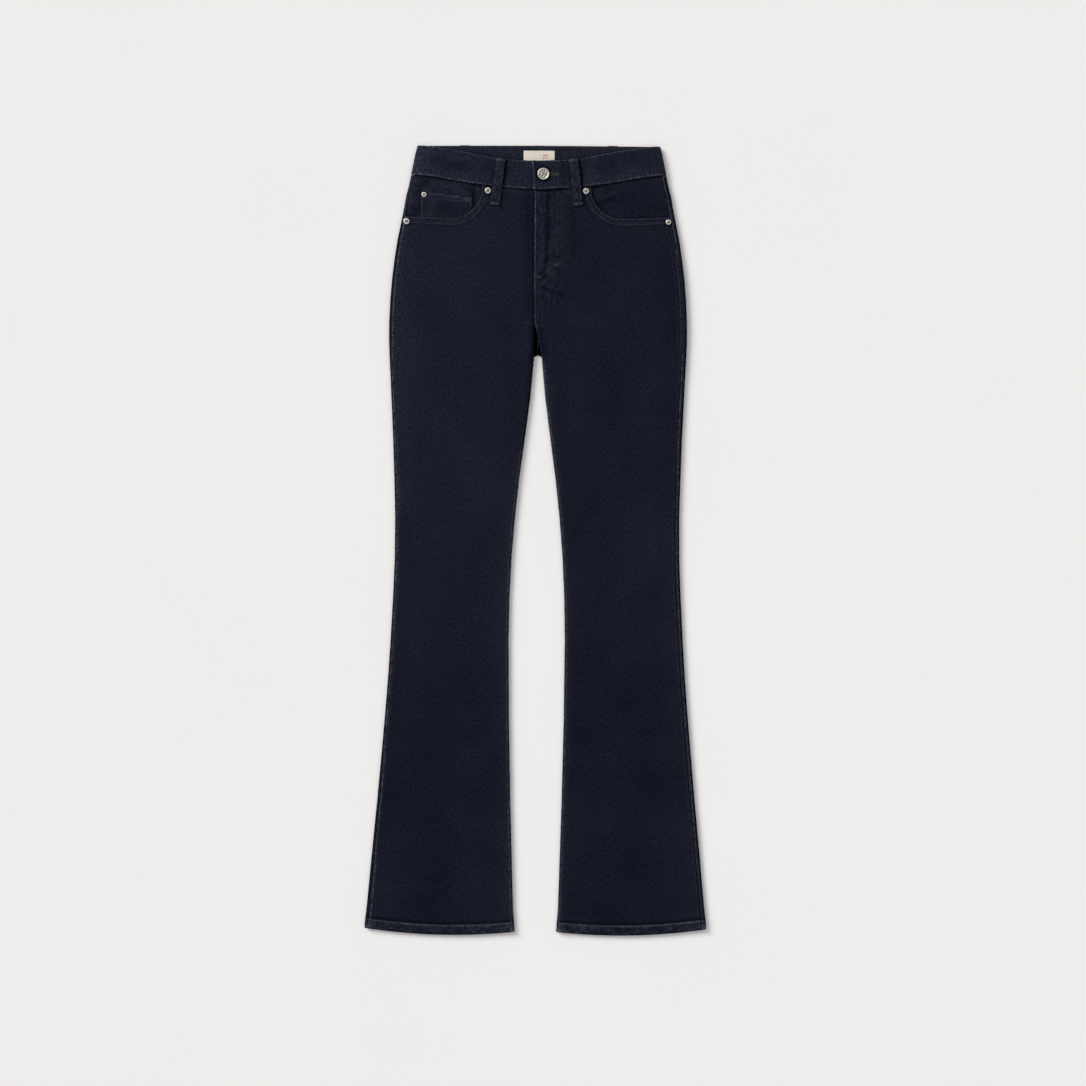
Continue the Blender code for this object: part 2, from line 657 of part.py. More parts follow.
def turned(name, profile, place, steps, material, collection, parent):
    """A turned piece: its profile swept once round the vertical axis by Screw."""
    mesh = bpy.data.meshes.new(name)
    points = [(radius * MM, 0.0, level * MM) for radius, level in profile]
    mesh.from_pydata(points, [(i, i + 1) for i in range(len(points) - 1)], [])
    obj = add_object(name, mesh, material, collection, parent)
    obj.location = [value * MM for value in place]
    screw = obj.modifiers.new("turn", "SCREW")
    screw.steps = steps
    screw.render_steps = steps
    screw.use_merge_vertices = True
    screw.merge_threshold = MERGE_DISTANCE
    screw.use_smooth_shade = True
    return obj


def as_cutter(obj, cutters):
    """The curve made a closed mesh that only cuts."""
    bpy.context.view_layer.update()
    evaluated = obj.evaluated_get(bpy.context.evaluated_depsgraph_get())
    mesh = bpy.data.meshes.new_from_object(evaluated)
    cleaned = bmesh.new()
    cleaned.from_mesh(mesh)
    bmesh.ops.remove_doubles(cleaned, verts=cleaned.verts, dist=MERGE_DISTANCE)
    bmesh.ops.recalc_face_normals(cleaned, faces=cleaned.faces)
    cleaned.to_mesh(mesh)
    cleaned.free()
    cutter = bpy.data.objects.new(obj.name + "_mesh", mesh)
    cutters.objects.link(cutter)
    cutter.matrix_world = obj.matrix_world
    bpy.data.objects.remove(obj, do_unlink=True)
    cutter.hide_render = True
    cutter.display_type = "WIRE"
    return cutter


def cut(obj, cutter):
    boolean = obj.modifiers.new("cut", "BOOLEAN")
    boolean.operation = "DIFFERENCE"
    boolean.solver = "EXACT"
    boolean.object = cutter


def mouth_outline(side):
    """Everything above the pocket mouth's edge and outside it, past the waist seam and the side seam."""
    inner = MOUTH_INNER[side]
    centre = inner + MOUTH_RADIUS
    angles = np.linspace(math.pi, 1.5 * math.pi, MOUTH_ARC_POINTS)
    top = MOUTH_LEVEL + MOUTH_RADIUS
    outline = [(inner, MOUTH_PAST_TOP)]
    outline += [(centre + MOUTH_RADIUS * math.cos(a), top + MOUTH_RADIUS * math.sin(a)) for a in angles]
    outline.append((MOUTH_PAST_SIDE, MOUTH_LEVEL + MOUTH_RISE * (MOUTH_PAST_SIDE - centre)))
    outline.append((MOUTH_PAST_SIDE, MOUTH_PAST_TOP))
    return [(SIGN[side] * across, y) for across, y in outline]


def buttonhole_outline():
    """A keyhole: a round eye at the button and a narrow slot towards the side."""
    x, y = BUTTON_AT
    half = BUTTONHOLE_SLOT / 2
    opening = math.asin(half / BUTTONHOLE_EYE)
    angles = np.linspace(opening, 2.0 * math.pi - opening, BUTTONHOLE_POINTS)
    eye = [(x + BUTTONHOLE_EYE * math.cos(a), y + BUTTONHOLE_EYE * math.sin(a)) for a in angles]
    return eye + [(BUTTONHOLE_END, y - half), (BUTTONHOLE_END, y + half)]


def build_legs(denim, parts, cutters, root):
    for side in SIGN:
        front_walls = [section("wall", height) for height in FRONT_HEIGHTS]
        front = cloth_wall(f"front_{side}", front_rows(side), front_walls, denim, parts, root)
        mouth = plate(f"mouth_{side}", mouth_outline(side), MOUTH_CUT_Z, None, cutters, None)
        cut(front, as_cutter(mouth, cutters))
        back_walls = [section("wall", height) for height in BACK_HEIGHTS]
        cloth_wall(f"back_{side}", back_rows(side), back_walls, denim, parts, root)
        cloth_wall(f"yoke_{side}", yoke_rows(side), CLOTH, denim, parts, root)


def build_pockets(denim, facing, parts, root):
    for side in SIGN:
        cloth_wall(f"pocket_facing_{side}", facing_rows(side), LINING_WALL, facing, parts, root)
        outline = [(SIGN[side] * across, y) for across, y in BACK_POCKET]
        plate(f"back_pocket_{side}", outline, UNDERSIDE_LAYER, denim, parts, root)
    cloth_wall("coin_pocket", coin_rows(), LINING_WALL, denim, parts, root)


def build_waist(denim, label, parts, cutters, root):
    band = cloth_wall("waistband", band_rows(), BAND_WALL, denim, parts, root)
    hole = plate("buttonhole", buttonhole_outline(), BUTTONHOLE_Z, None, cutters, None)
    cut(band, as_cutter(hole, cutters))
    x_range, y_range, levels = SIZE_LABEL
    plate("size_label", rectangle(x_range, y_range), levels, label, parts, root)


def build_fly(denim, tape, parts, root):
    for name, (x_range, y_range, levels), material in (
        ("fly_shield", FLY_SHIELD, denim),
        ("fly_zip", FLY_ZIP, tape),
    ):
        plate(name, rectangle(x_range, y_range), levels, material, parts, root)


def build_belt_loops(denim, parts, root):
    """Front loops are their side view extruded across their width; back loops lie flat under the band."""
    for side, (top, bottom) in FRONT_LOOPS.items():
        half = LOOP_WIDTH / 2
        loop = plate(f"belt_loop_front_{side}", LOOP_PROFILE, (-half, half), denim, parts, root)
        lean = math.atan2(bottom[0] - top[0], top[1] - bottom[1])
        loop.rotation_euler = (math.pi / 2, 0.0, lean - math.pi / 2)
        loop.location = (top[0] * MM, top[1] * MM, 0.0)
    for place, x in BACK_LOOPS.items():
        x_range = (x - LOOP_WIDTH / 2, x + LOOP_WIDTH / 2)
        outline = rectangle(x_range, (BACK_LOOP_TOP - LOOP_LENGTH, BACK_LOOP_TOP))
        plate(f"belt_loop_back_{place}", outline, UNDERSIDE_LAYER, denim, parts, root)


def build_metal(nickel, parts, root):
    turned("waist_button", BUTTON_PROFILE, (*BUTTON_AT, 0.0), BUTTON_STEPS, nickel, parts, root)
    for name, (x, y, level, size) in RIVETS.items():
        profile = [(radius * size, height * size) for radius, height in RIVET_PROFILE]
        turned(name, profile, (x, y, level), RIVET_STEPS, nickel, parts, root)


def main():
    clear_scene()
    parts = make_collection("bootcut_jeans")
    cutters = make_collection("cutters")
    root = bpy.data.objects.new("bootcut_jeans_root", None)
    parts.objects.link(root)
    material = {name: make_material(name) for name in MATERIALS}
    build_legs(material["denim"], parts, cutters, root)
    build_pockets(material["denim"], material["facing_denim"], parts, root)
    build_waist(material["denim"], material["label_satin"], parts, cutters, root)
    build_fly(material["denim"], material["zip_tape"], parts, root)
    build_belt_loops(material["denim"], parts, root)
    build_metal(material["nickel"], parts, root)


main()
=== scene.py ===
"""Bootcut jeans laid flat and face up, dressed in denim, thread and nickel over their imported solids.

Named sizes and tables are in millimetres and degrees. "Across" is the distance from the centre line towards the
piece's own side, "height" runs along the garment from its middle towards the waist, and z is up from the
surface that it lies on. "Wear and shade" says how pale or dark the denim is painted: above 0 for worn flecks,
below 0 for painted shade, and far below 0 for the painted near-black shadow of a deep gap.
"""
import math

import bpy
import numpy as np
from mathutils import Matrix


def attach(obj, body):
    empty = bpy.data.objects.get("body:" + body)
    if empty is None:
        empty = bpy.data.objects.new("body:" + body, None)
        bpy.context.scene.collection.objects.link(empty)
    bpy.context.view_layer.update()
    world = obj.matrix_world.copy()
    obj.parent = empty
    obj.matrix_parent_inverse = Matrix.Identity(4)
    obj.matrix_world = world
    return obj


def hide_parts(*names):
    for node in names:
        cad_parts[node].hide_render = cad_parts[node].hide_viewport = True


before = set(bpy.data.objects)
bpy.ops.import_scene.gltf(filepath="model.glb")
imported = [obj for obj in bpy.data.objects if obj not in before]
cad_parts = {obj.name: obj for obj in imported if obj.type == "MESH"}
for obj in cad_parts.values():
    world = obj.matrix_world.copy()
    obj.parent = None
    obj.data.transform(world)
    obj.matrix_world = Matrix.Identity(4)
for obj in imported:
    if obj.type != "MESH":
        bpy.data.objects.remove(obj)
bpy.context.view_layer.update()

MM = 0.001
SIGN = {"right": -1.0, "left": 1.0}

# Cloth and seams
CLOTH = 1.2
HEM_WALL = 2.4
LINING_WALL = 1
BAND_WALL = 2.4
HALF_GAP = 0.15
INSEAM_GAP_SHARE = 0.37

# Waist, yoke and hem
WAIST_SIDE = 518
YOKE_SIDE = 487
YOKE_CENTRE = 455
YOKE_RISE_TO = 188
BACK_BAND_TOP = 559.9
BACK_BAND_BOTTOM = 519
YOKE_WRAP_GAP = 1
YOKE_WRAP_LEVEL = 3.5
BAND_SIDE_TOP = 559
HEM_EDGE = -551
HEM_STITCH = -538
HEM_DROP_INNER = 4.7
HEM_DROP_LOWEST = 9.5
HEM_LOWEST_AT = 0.42
HEM_WARP_TO = -440
BACK_WARP_FROM = 330
SIDE_SEAM_INSET = {"right": 4, "left": 6.5}

# Sections: height, half width to the outer fold, height of the underside, and thickness at the fold and in
# the middle. The wall of the cloth is doubled in the hem.
SECTION_COLUMNS = ("height", "outer", "lift", "edge", "middle")
SECTIONS = (
    (559, 172.2, 1.5, 5.3, 5.3), (547, 175.4, 1.5, 5.3, 5.3),     (518, 181.2, 1.5, 5.3, 5.3),
    (502, 184.4, 1.5, 5.3, 5.3),     (487, 188.2, 1.5, 5.3, 5.3),
    (470, 191, 1.5, 5.3, 5.3),     (454.8, 194.1, 1.5, 5.3, 5.3),
    (426.4, 199.8, 1.5, 5.5, 5.3),     (398, 204.2, 1.5, 5.8, 5),
    (369.6, 207.5, 1.5, 6.1, 4.8),     (341.2, 209.8, 1.5, 6.2, 4.6),
    (310, 211.3, 1.5, 6.2, 4.5),     (284.4, 211.4, 1.2, 6.2, 4.4),
    (261, 210.6, 0.8, 6.2, 4.4),     (240, 209.6, 0.4, 6.2, 4.4),
    (199.2, 207.6, 0, 6.2, 4.4),     (142.4, 205, 0, 6.2, 4.4),
    (85.6, 203, 0, 6.2, 4.4),     (28.8, 201.6, 0, 6.2, 4.4),
    (-28, 202, 0, 6.2, 4.4),     (-84.8, 204.3, 0, 6.2, 4.4),
    (-141.6, 207.3, 0, 6.2, 4.4),     (-198.4, 210.9, 0, 6.2, 4.4),
    (-255.2, 215.3, 0, 6.2, 4.4),     (-312, 220.2, 0, 6.2, 4.4),
    (-368.8, 225.2, 0, 6.2, 4.4),     (-425.6, 230.7, 0, 6.2, 4.4),
    (-482.4, 236, 0, 6.2, 4.6),     (-520, 239.4, 0, 6.3, 4.9),
    (-536.8, 241.2, 0, 6.4, 5.2),     (HEM_STITCH, 241.5, 0, 6.8, 5.8),
    (HEM_EDGE, 242.4, 0, 6.8, 5.8),
)
SECTION = dict(zip(SECTION_COLUMNS, np.array(SECTIONS).T))
SECTION["wall"] = np.where(SECTION["height"] <= HEM_STITCH, HEM_WALL, CLOTH)
FOLD_RISE_FLAT = 3.5
FOLD_RISE_WIDTH = 14

# Inner edge of the fronts: height, edge of the right front, edge of the left front, curl at the inner fold
FRONT_INNER = (
    (518, 1.3, -6.3, 0), (360, 1.3, -6.3, 0), (350, 6.6, -6.3, 0), (310, 6.1, -5.6, 0),
    (284.4, 5.7, -0.2, 50), (261, 5.3, 5.3, 110), (240, 7.1, 7.1, 110), (199.2, 10.9, 10.9, 95),
    (142.4, 18.3, 18.3, 35), (85.6, 25.9, 25.9, 26), (28.8, 31.9, 31.9, 26), (-28, 36.4, 36.4, 26),
    (-84.8, 38.9, 38.9, 26), (-141.6, 39.8, 39.8, 26), (-255.2, 38.8, 38.8, 26),
    (-368.8, 36.4, 36.4, 26), (-482.4, 33, 33, 26), (-520, 31.8, 31.8, 26),
    (HEM_STITCH, 30.4, 30.4, 26), (HEM_EDGE, 29.3, 29.3, 26),
)
CROTCH = ((262.1, HALF_GAP), (261.8, 1.3), (261.2, 3.2), (260.5, 5.3))
CROTCH_HEIGHT = 261
LEG_START = (240, 265)
BACK_CURL_START = 258
BACK_CURL_FULL = 240
FULL_CURL = 60

# Waistband edges on the front, and the levels of its layers
TOP_EDGE_REACH = 169
WAIST_SEAM_REACH = 178
FRONT_TOP_EDGE = (
    (0, 538), (30, 539), (60, 542), (90, 547.7), (120, 553.2), (150, 557.2),
    (TOP_EDGE_REACH, 559),
)
FRONT_WAIST_SEAM = (
    (0, 496.4), (30, 498.2), (60, 500.9), (90, 504.6), (120, 509.7), (150, 514.8),
    (WAIST_SEAM_REACH, 518),
)
BAND_TALL = 41
BAND_BACK_LEVEL = 2.7
BAND_FRONT_LEVEL = 6.7
BAND_OVERLAP_LEVEL = 9.4
BAND_FOLD_POINTS = 11
UNDERLAP_END = 0.155
OVERLAP_FLAT_TO = 0.162
OVERLAP_SLOPE_TO = 0.235
OVERLAP_END_TOP = -0.056
OVERLAP_END_BOTTOM = -0.038
OVERLAP_SLANT_REACH = 0.05
BAND_REACH_AT = 540

# Fly, pocket mouths and facings
FLY_RAISE = 1.5
FLY_RAISE_TO = 2
FLY_SLOPE_TO = 11
FLY_END = 335
FLY_FULL = 350
FLY_DEPTH = 5.3
FLY_HALF_WIDTH = 32
FLY_BLEND_WIDTH = 60
MOUTH_RADIUS = 44
MOUTH_INNER = {"right": 80.5, "left": 74.5}
MOUTH_LEVEL = 456
MOUTH_RISE = 0.04
FACING_INNER = 60
FACING_BOTTOM = 438
FACING_TOP_GAP = 0.7
FACING_LOW = 3.5
FACING_HIGH = 5.4
FACING_SLOPE = (2, 20)
COIN_POCKET = ((167, 493.6), (94.6, 485.2), (98, 441), (167, 441))
COIN_TALL = 50
COIN_WIDE = 70
COIN_OFFSET = 1.3
BACK_POCKET_TOP = ((30, 446), (163, 452))
BACK_POCKET_BOTTOM = ((36.5, 325), (42, 319), (97, 303.5), (152, 322), (157, 328))
BACK_POCKET_TALL = 130
BACK_POCKET_WIDE = 120

# Belt loops, as centre line from top to bottom end, and the levels along them
LOOP_WIDTH = 14
LOOP_WALL = 1.7
BACK_LOOP_WALL = 1.1
FRONT_LOOPS = {"right": ((-53.7, 541.3), (-62.3, 474.6)), "left": ((48.9, 541.3), (56.4, 474.6))}
BACK_LOOPS = {"right": -105, "centre": 0, "left": 105}
BACK_LOOP_ENDS = (560.5, 493.5)
LOOP_LEVELS = (
    (0, 9.5), (7, 9.6), (9.5, 10.2), (22, 10.75), (38, 10.6), (56, 9.4), (60, 8.6), (67, 8.4),
)
BACK_LOOP_LEVELS = ((0, 0.64), (67, 0.64))

# Label, fly shield and zip: ends of the centre line, width, levels along them and wall
LABEL = {
    "ends": ((0.5, 552.6), (0.5, 526.5)), "width": 44, "wall": 0.5,
    "levels": ((0, 4.7), (8, 4.9), (20, 4.75), (26.1, 4.65)),
}
LABEL_NUMBER = "27"
LABEL_NUMBER_TALL = 8
LABEL_NUMBER_AT = (9, 541.5, 5.42)
LABEL_NUMBER_THICK = 0.06
SHIELD = {"ends": ((6, 496), (6, 366)), "width": 40, "wall": 1.0, "levels": ((0, 3.5), (130, 3.5))}
TAPES = {"ends": ((-0.5, 495.6), (-0.5, 374)), "width": 25, "wall": 0.6, "levels": ((0, 4.6), (121.6, 4.6))}
ZIP_TEETH = 52
ZIP_TOOTH = (2.6, 1.2, 0.5)
ZIP_PITCH = 2.05
ZIP_TOP = 486
ZIP_LEVEL = 5.05
ZIP_STAGGER = 0.6
ZIP_SLIDER_CENTRES = ((-0.5, 489, 5.1), (-0.5, 482, 5.25))
ZIP_SLIDER_SIZES = ((7.5, 8, 0.7), (3, 11, 0.3))

# Metal: places of the button and rivets, as across, height, level of the seat and size
BUTTON_AT = (6.6, 518.9)
BUTTONHOLE_END = 27.5
# Radii of the rings of painted shadow round the button and round each rivet
BUTTON_SHADE_RADIUS = 9.6
RIVET_SHADE_RADIUS = 5.6
RIVETS = {
    "right_mouth_inner": (-71.9, 495.5, 7.1, 1),
    "right_mouth_outer": (-187.2, 451.5, 7.15, 1),
    "coin": (-162.5, 489.4, 7.5, 0.82),
    "left_mouth_inner": (67.1, 495.4, 7.1, 1),
    "left_mouth_outer": (184.3, 451.8, 7.15, 0.88),
}

# Profiles from the middle of the face round to the middle of the underside: radius, level, dullness
BUTTON_PROFILE = (
    (0.25, 13.15, 0.9), (1.2, 13.15, 0.7), (2.2, 13.1, 0.4), (3.2, 12.95, 0.4), (4.2, 12.85, 0.5),
    (4.7, 12.9, 0.45), (5.2, 12.9, 0.45), (5.8, 12.85, 0.85), (6.3, 13.15, 0.4), (6.8, 13.6, -0.2),
    (7.3, 13.85, -0.25), (7.8, 13.75, -0.25), (8.2, 13.35, -0.1), (8.45, 12.8, 0.5), (8.4, 12.1, 0.8),
    (8.1, 11.4, 1), (7, 11, 1), (3.2, 10.95, 1), (3.2, 8.3, 1), (0.3, 8.3, 1),
)
RIVET_PROFILE = (
    (0.15, 1.75, 0.3), (0.7, 1.7, 0.7), (1.2, 1.45, 1.1), (1.6, 1.05, 1.3), (2, 0.95, 0.9), (2.7, 1.1, 0.1),
    (3.4, 1.15, 0), (4, 1, 0.1), (4.4, 0.6, 0.4), (4.7, 0.15, 0.8), (4.6, 0, 1), (0.2, 0, 1),
)
BUTTON_STEPS = 72
RIVET_STEPS = 32
RECESS_DULLNESS = 3

# Soft creases: start, end, half width and size (minus is a trough)
CREASES = (
    (-11.5, 324, -37, 287, 8, -0.35),
    (-46, 277, -75, 253, 8, 0.25),
    (-61, 267, -153, 220, 18, -0.22),
    (-72, 114, -55, 7, 14, -0.25),
    (-95, -28, -80, -156, 14, -0.2),
    (-62, -182, -61, -214, 8, -0.2),
    (-152, -397, -122, -433, 16, -0.25),
    (-178, 430, -186, 60, 26, 0.4),
    (96, 78, 57, 7, 12, -0.26),
    (132, -28, 75, -95, 12, -0.34),
    (125, -130, 71, -181, 12, -0.34),
    (165, -326, 148, -350, 12, -0.22),
    (84, -411, 137, -465, 16, -0.26),
    (137, -465, 187, -492, 14, -0.2),
    (-16, 488, -15, 400, 6.5, -0.4),
    (13.2, 487, 12.4, 396, 2.6, -0.45),
    (6, 486, 5, 384, 4, 0.35),
    (22, 380, 4, 364, 3.5, 0.35),
    (9, 356, 34, 348, 4, -0.45),
    (50, 462, 54, 424, 9, -0.35),
)
FACING_CREASES = ((83, 478, 106, 485.5, 3.2, -0.7), (88, 485, 112, 493, 4, 0.35))

# Puckers along each seam: pitch along it, reach away from it, size, and seed of their unevenness
PUCKERS = {
    "side": (8.5, 6, 0.22, 11), "inseam": (7, 7, 0.30, 12), "mouth": (7.5, 6, 0.16, 13),
    "waist": (8, 9, 0.22, 14), "fly edge": (7, 9, 0.16, 15), "fly rows": (8, 6, 0.14, 16),
    "hem": (9, 8, 0.16, 22), "band top": (7.5, 7, 0.20, 51), "band bottom": (6.5, 10, 0.34, 52),
    "facing": (7, 8, 0.22, 63), "coin pocket": (6, 5, 0.16, 72),
}
MOUTH_WEAR_REACH = 12
MOUTH_WEAR_START = (400, 425)
FLY_PUCKERS_START = (340, 360)
FLY_ROWS_START = (385, 400)
FLY_EDGE_AT = -4
FLY_ROWS_AT = 27
FLY_OUTER_ROW_AT = 33

# The hem's fold is twisted into slanting ridges
ROPE_PITCH = 11
ROPE_SLANT = 0.9
ROPE_SIZE = 0.28
ROPE_WANDER = 0.6
HEM_GROOVE = 0.45

# Shades on the cloth: start, end, half width and wear. On the fronts and facings the narrow dark ones are
# painted shade in creases and gaps, beside edges and round the fly's bars, and the narrow pale ones painted
# light on the ridges beside them; the wide ones, and those on the band and coin pocket, are paler or darker
# fades of the cloth.
SHADES = (
    (-14.5, 496, -12, 330, 5, -0.024),
    (-7.5, 494, -7.5, 304, 0.9, -0.150),
    (13.2, 487, 11.6, 396, 2.2, -0.060),
    (14, 496, 14, 484, 6, -0.020),
    (3.6, 488, 3.6, 384, 4.5, 0.022),
    (49, 468, 49, 400, 4, -0.014),
    (10, 356, 34, 348, 3, -0.045),
    (3, 379.5, 8, 374, 1.8, -0.070),
    (23, 385, 30, 384, 1.8, -0.070),
    (-8.2, 300, -8, 262, 2.6, -0.110),
    (3, 300, 9, 262, 4, -0.040),
    (-8.6, 262, -12.4, 204, 2.8, -0.130),
    (-12.4, 204, -20.5, 130, 2.4, -0.080),
    (-196, 440, -202, 60, 16, 0.018),
    (196, 430, 204, 60, 24, -0.024),
    (-80, 380, -120, 150, 60, 0.006),
    (100, 430, 110, -100, 70, -0.011),
    (-30, 245, -34, 60, 20, -0.010),
    (30, 245, 34, 100, 14, -0.006),
    (-130, -250, -140, -520, 95, -0.024),
    (130, -250, 140, -520, 95, -0.026),
)
BAND_SHADES = (
    (-165, 537, -70, 524, 6, -0.016),
    (60, 528, 165, 542, 6, -0.016),
    (-160, 551, -90, 540, 5, 0.016),
    (-150, 524, -70, 512, 5, 0.012),
    (14, 505, 40, 506, 4, -0.016),
    (-40, 512, -14, 511, 6, 0.012),
)
FACING_SHADES = (
    (84, 478, 106, 485.5, 2.2, -0.055),
    (85, 476, 97, 465, 2.6, -0.030),
    (88, 485, 112, 493, 3, 0.014),
    (120, 490, 160, 470, 30, -0.022),
    (-172, 500, -176, 460, 5, -0.012),
    (-90, 500, -150, 506, 6, 0.024),
)
COIN_SHADES = (
    (-136, 470, -104, 462, 9, -0.024),
    (-150, 478, -160, 452, 6, 0.030),
    (-112, 474, -106, 452, 5, 0.020),
    (-160, 489, -104, 482.5, 2.6, 0.040),
)

# Soft lines beside an edge or a seam: worn pale flecks, and painted shade, shadow or highlight where the name
# says so:
# wear, distance from the edge, half width
LINES = {
    "side seam flecks": ((0.05, 2.4, 1.5),),
    "side seam shade": ((-0.035, 0, 1),),
    "outer fold shade": ((-0.18, 0, 1.7),),
    "hip edge": ((0.13, 0, 6.5),),
    "inner fold flecks": ((0.30, 1.6, 1.8),),
    "inner fold glow": ((0.03, 0, 8),),
    "inner fold shade": ((-0.08, 0, 0.8),),
    "mouth flecks": ((0.13, 0.6, 0.9),),
    "mouth row flecks": ((0.06, 8.9, 1),),
    "mouth shade": ((-0.03, 2.8, 1), (-0.03, 10.4, 1.3)),
    "front waist flecks": ((0.05, 4, 3),),
    "front waist shade": ((-0.05, 0, 1.4),),
    "fly flecks": ((0.46, 1.5, 0.7),),
    "fly shade": ((-0.14, 0, 0.7),),
    "rivet shade": ((-0.09, 0, 1.5),),
    "hem row flecks": ((0.16, 0, 1.5),),
    "hem row shade": ((-0.10, 3.4, 1.4),),
    "hem edge shade": ((-0.04, 0, 1.2),),
    "band top flecks": ((0.24, 0.6, 1.1),),
    "band bottom flecks": ((0.28, 2, 0.9),),
    "band bottom glow": ((0.030, 6, 6),),
    "band bottom shade": ((-0.05, 0, 1.1),),
    # Worn pale flecks along the band's lapped end, with a painted highlight on its edge
    "band end flecks and painted highlight": ((0.46, 0.6, 1),),
    "band end shade": ((-0.03, 4.2, 1.6),),
    "painted shadow behind front edge": ((0.08, 0.3, 1.8),),
    "button shade": ((-0.14, 0, 1.5),),
    "painted shadow beside loop": ((-0.12, 8.2, 1.9), (-0.04, -8, 1.4)),
    "facing mouth shade": ((-0.045, 0, 2.6),),
    "facing waist shade": ((-0.03, 0, 2.5),),
    "painted shadow and pale band beside coin pocket": ((-0.05, 0, 2.2), (0.04, 5.5, 2.4)),
    "coin top flecks": ((0.22, 0.5, 1),),
    "coin top shade": ((-0.03, 2.6, 1),),
    "coin inner flecks": ((0.18, 0.5, 0.9),),
    "coin outer flecks": ((0.15, 1, 0.9),),
    "loop edge flecks": ((0.07, 1.6, 0.9),),
    "loop edge shade": ((-0.05, 0, 0.8),),
    "loop end flecks": ((0.20, 2.4, 1.8),),
    "loop end shade": ((-0.04, 6.4, 1.2),),
}

# Painted light and wear on ridges, painted shade in hollows: wear for each millimetre of relief, lowest
# and highest relief that counts
RELIEF_WEAR_AND_SHADE = {
    "front": (0.022, -0.7, 0.8), "band": (0.05, -0.5, 0.7),
    "facing": (0.03, -0.5, 0.6), "coin": (0.03, -0.4, 0.4),
}

# Height and distance from the outer fold of the pale line that runs down beside it, and how pale it is
PALE_LINE = {
    "right": (
        (285, 4.6), (240, 3.3), (150, 3), (110, 3.5), (-280, 3.5), (-340, 4.8), (-430, 4.8),
        (-465, 6.4),
    ),
    "left": (
        (420, 5.6), (390, 7.3), (280, 7.3), (250, 5.4), (130, 5.4), (90, 3.8), (-370, 3.8),
        (-400, 4.8), (-450, 4.8), (-490, 3.6),
    ),
}
PALE_LINE_WEAR = {"right": 0.45, "left": 0.26}
PALE_LINE_WIDTH = 0.8
PALE_LINE_FADE = 0.45
PALE_LINE_FADES = (370, 460)
PALE_HIP = (440, 458)
# Heights over which the right leg's inner fold turns from worn pale, lower down, to painted shade on the thigh
DARK_INNER_LEG = (90, 170)

# The hem's two worn corners: in from the side, up from the edge, wear and half width
HEM_CORNERS = {"inner": (2.5, 3, 0.55, 4.2), "outer": (2, 3.5, 0.45, 3.8)}

# Soft unevenness of the cloth: size, distance between its hills and seed of each layer
UNEVENNESS = {
    "front": ((0.30, 75, 5), (0.16, 28, 6)),
    "above hem": ((0.07, 11, 7),),
    "band": ((0.22, 24, 53), (0.10, 9, 54)),
    "facing": ((0.22, 22, 61), (0.10, 9, 62)),
}

# Reaches of the relief and the wear on the fronts
OVER_HEM_REACH = 3
SIDE_SEAM_DIP = 0.35
SIDE_SEAM_DIP_WIDTH = 1
MOUTH_PUCKERS_AT = 5
MOUTH_TURNING_END = (8, 10)
MOUTH_TURNING_WEAR = 0.040
HEM_STRIP_END = (-1.5, 0.5)
HEM_PATCHES_END = (-2, 0)
HEM_GROOVE_WIDTH = 1.6
HEM_STRIP_WEAR = 0.006
HEM_PATCH_WEAR = 0.14
FLY_SEAM_START = (294, 304)
FLY_SEAM_FULL = (330, 380)
FLY_MOTTLE = {"flap": 0.045, "toe": 0.05, "outer row": 0.06}
FLY_MOTTLE_END = (24, 34)
FLY_MOTTLE_START = (322, 338)
FLY_TOE_AT = 2
FLY_TOE_WIDTH = 5
FLY_OUTER_ROW_WIDTH = 3.5

# Rows and columns of the legs' grids
HEM_ROWS = HEM_EDGE + np.array(
    (0, 0.15, 0.45, 0.9, 1.5, 3, 5, 7, 9, 10.5, 11.6, 12.4, 13, 13.6, 14.4)
)
TAIL_SHARES = np.array((0.12, 0.25, 0.4, 0.55, 0.7, 0.82, 0.91, 0.96, 0.985, 1))
FRONT_TAIL = 5.2
BACK_TAIL = 7
FRONT_ROW_STEP = 2.1
BACK_ROW_STEP = 2.4
MOUTH_BASE = 430
BACK_TOP_ROWS = YOKE_SIDE - np.array((1.5, 0.9, 0.45, 0.15, 0))

# Painted near-black shadow in the deep gap under the fly's toe, on the backs: its heights, how far out it goes,
# and its depth
PIT_TOP = (310, 330)
PIT_BOTTOM = (250, 258)
PIT_REACH = (16, 24)
PIT_SHADE = 0.5
PIT_FROM_SEAM = 40

# The fly's two curved rows of stitches, and the two bars that tack it down
FLY_STITCHES = (
    ((26.8, 494), (26.8, 402), (23.5, 394.5), (17, 386), (9, 378), (1, 371.5)),
    ((33.4, 496), (33.2, 400), (30.4, 391), (24, 381.5), (14, 371), (1, 361)),
)
FLY_TACKS = (((25, 389.6), (29.6, 393.4)), ((-2.6, 373.6), (3.6, 372.8)))

# One stitch: places of its rings along it, how thick it is and how high it rises at each
STITCH_RINGS = np.array((0, 0.18, 0.5, 0.82, 1))
STITCH_SWELL = np.array((0.35, 0.85, 1, 0.85, 0.35))
STITCH_RISE = np.array((-0.35, 0, 0.08, 0, -0.35))
STITCH_SEED = 17
UNDERSIDE_STITCHES = 0.16

# Lights: name, strength, width of its disc, tilt from overhead and turn in degrees, and tint
LIGHTS = (
    ("key", 2.70, 28, 60, 232, (1, 0.99, 0.975)),
    ("overhead", 1.17, 110, 6, 225, (1, 1, 1)),
)
SKY_COLOUR = (0.99, 0.995, 1, 1)
SKY_STRENGTH = 0.27
FLOOR_COLOURS = ((0.800, 0.790, 0.780, 1), (0.812, 0.802, 0.794, 1))
FLOOR_REACH = 4
FLOOR_LEVEL = -0.0004
CAMERA = {"place": (0.0084, -0.0039, 3.643), "turn": 0.26, "lens": 85, "sensor": 36}

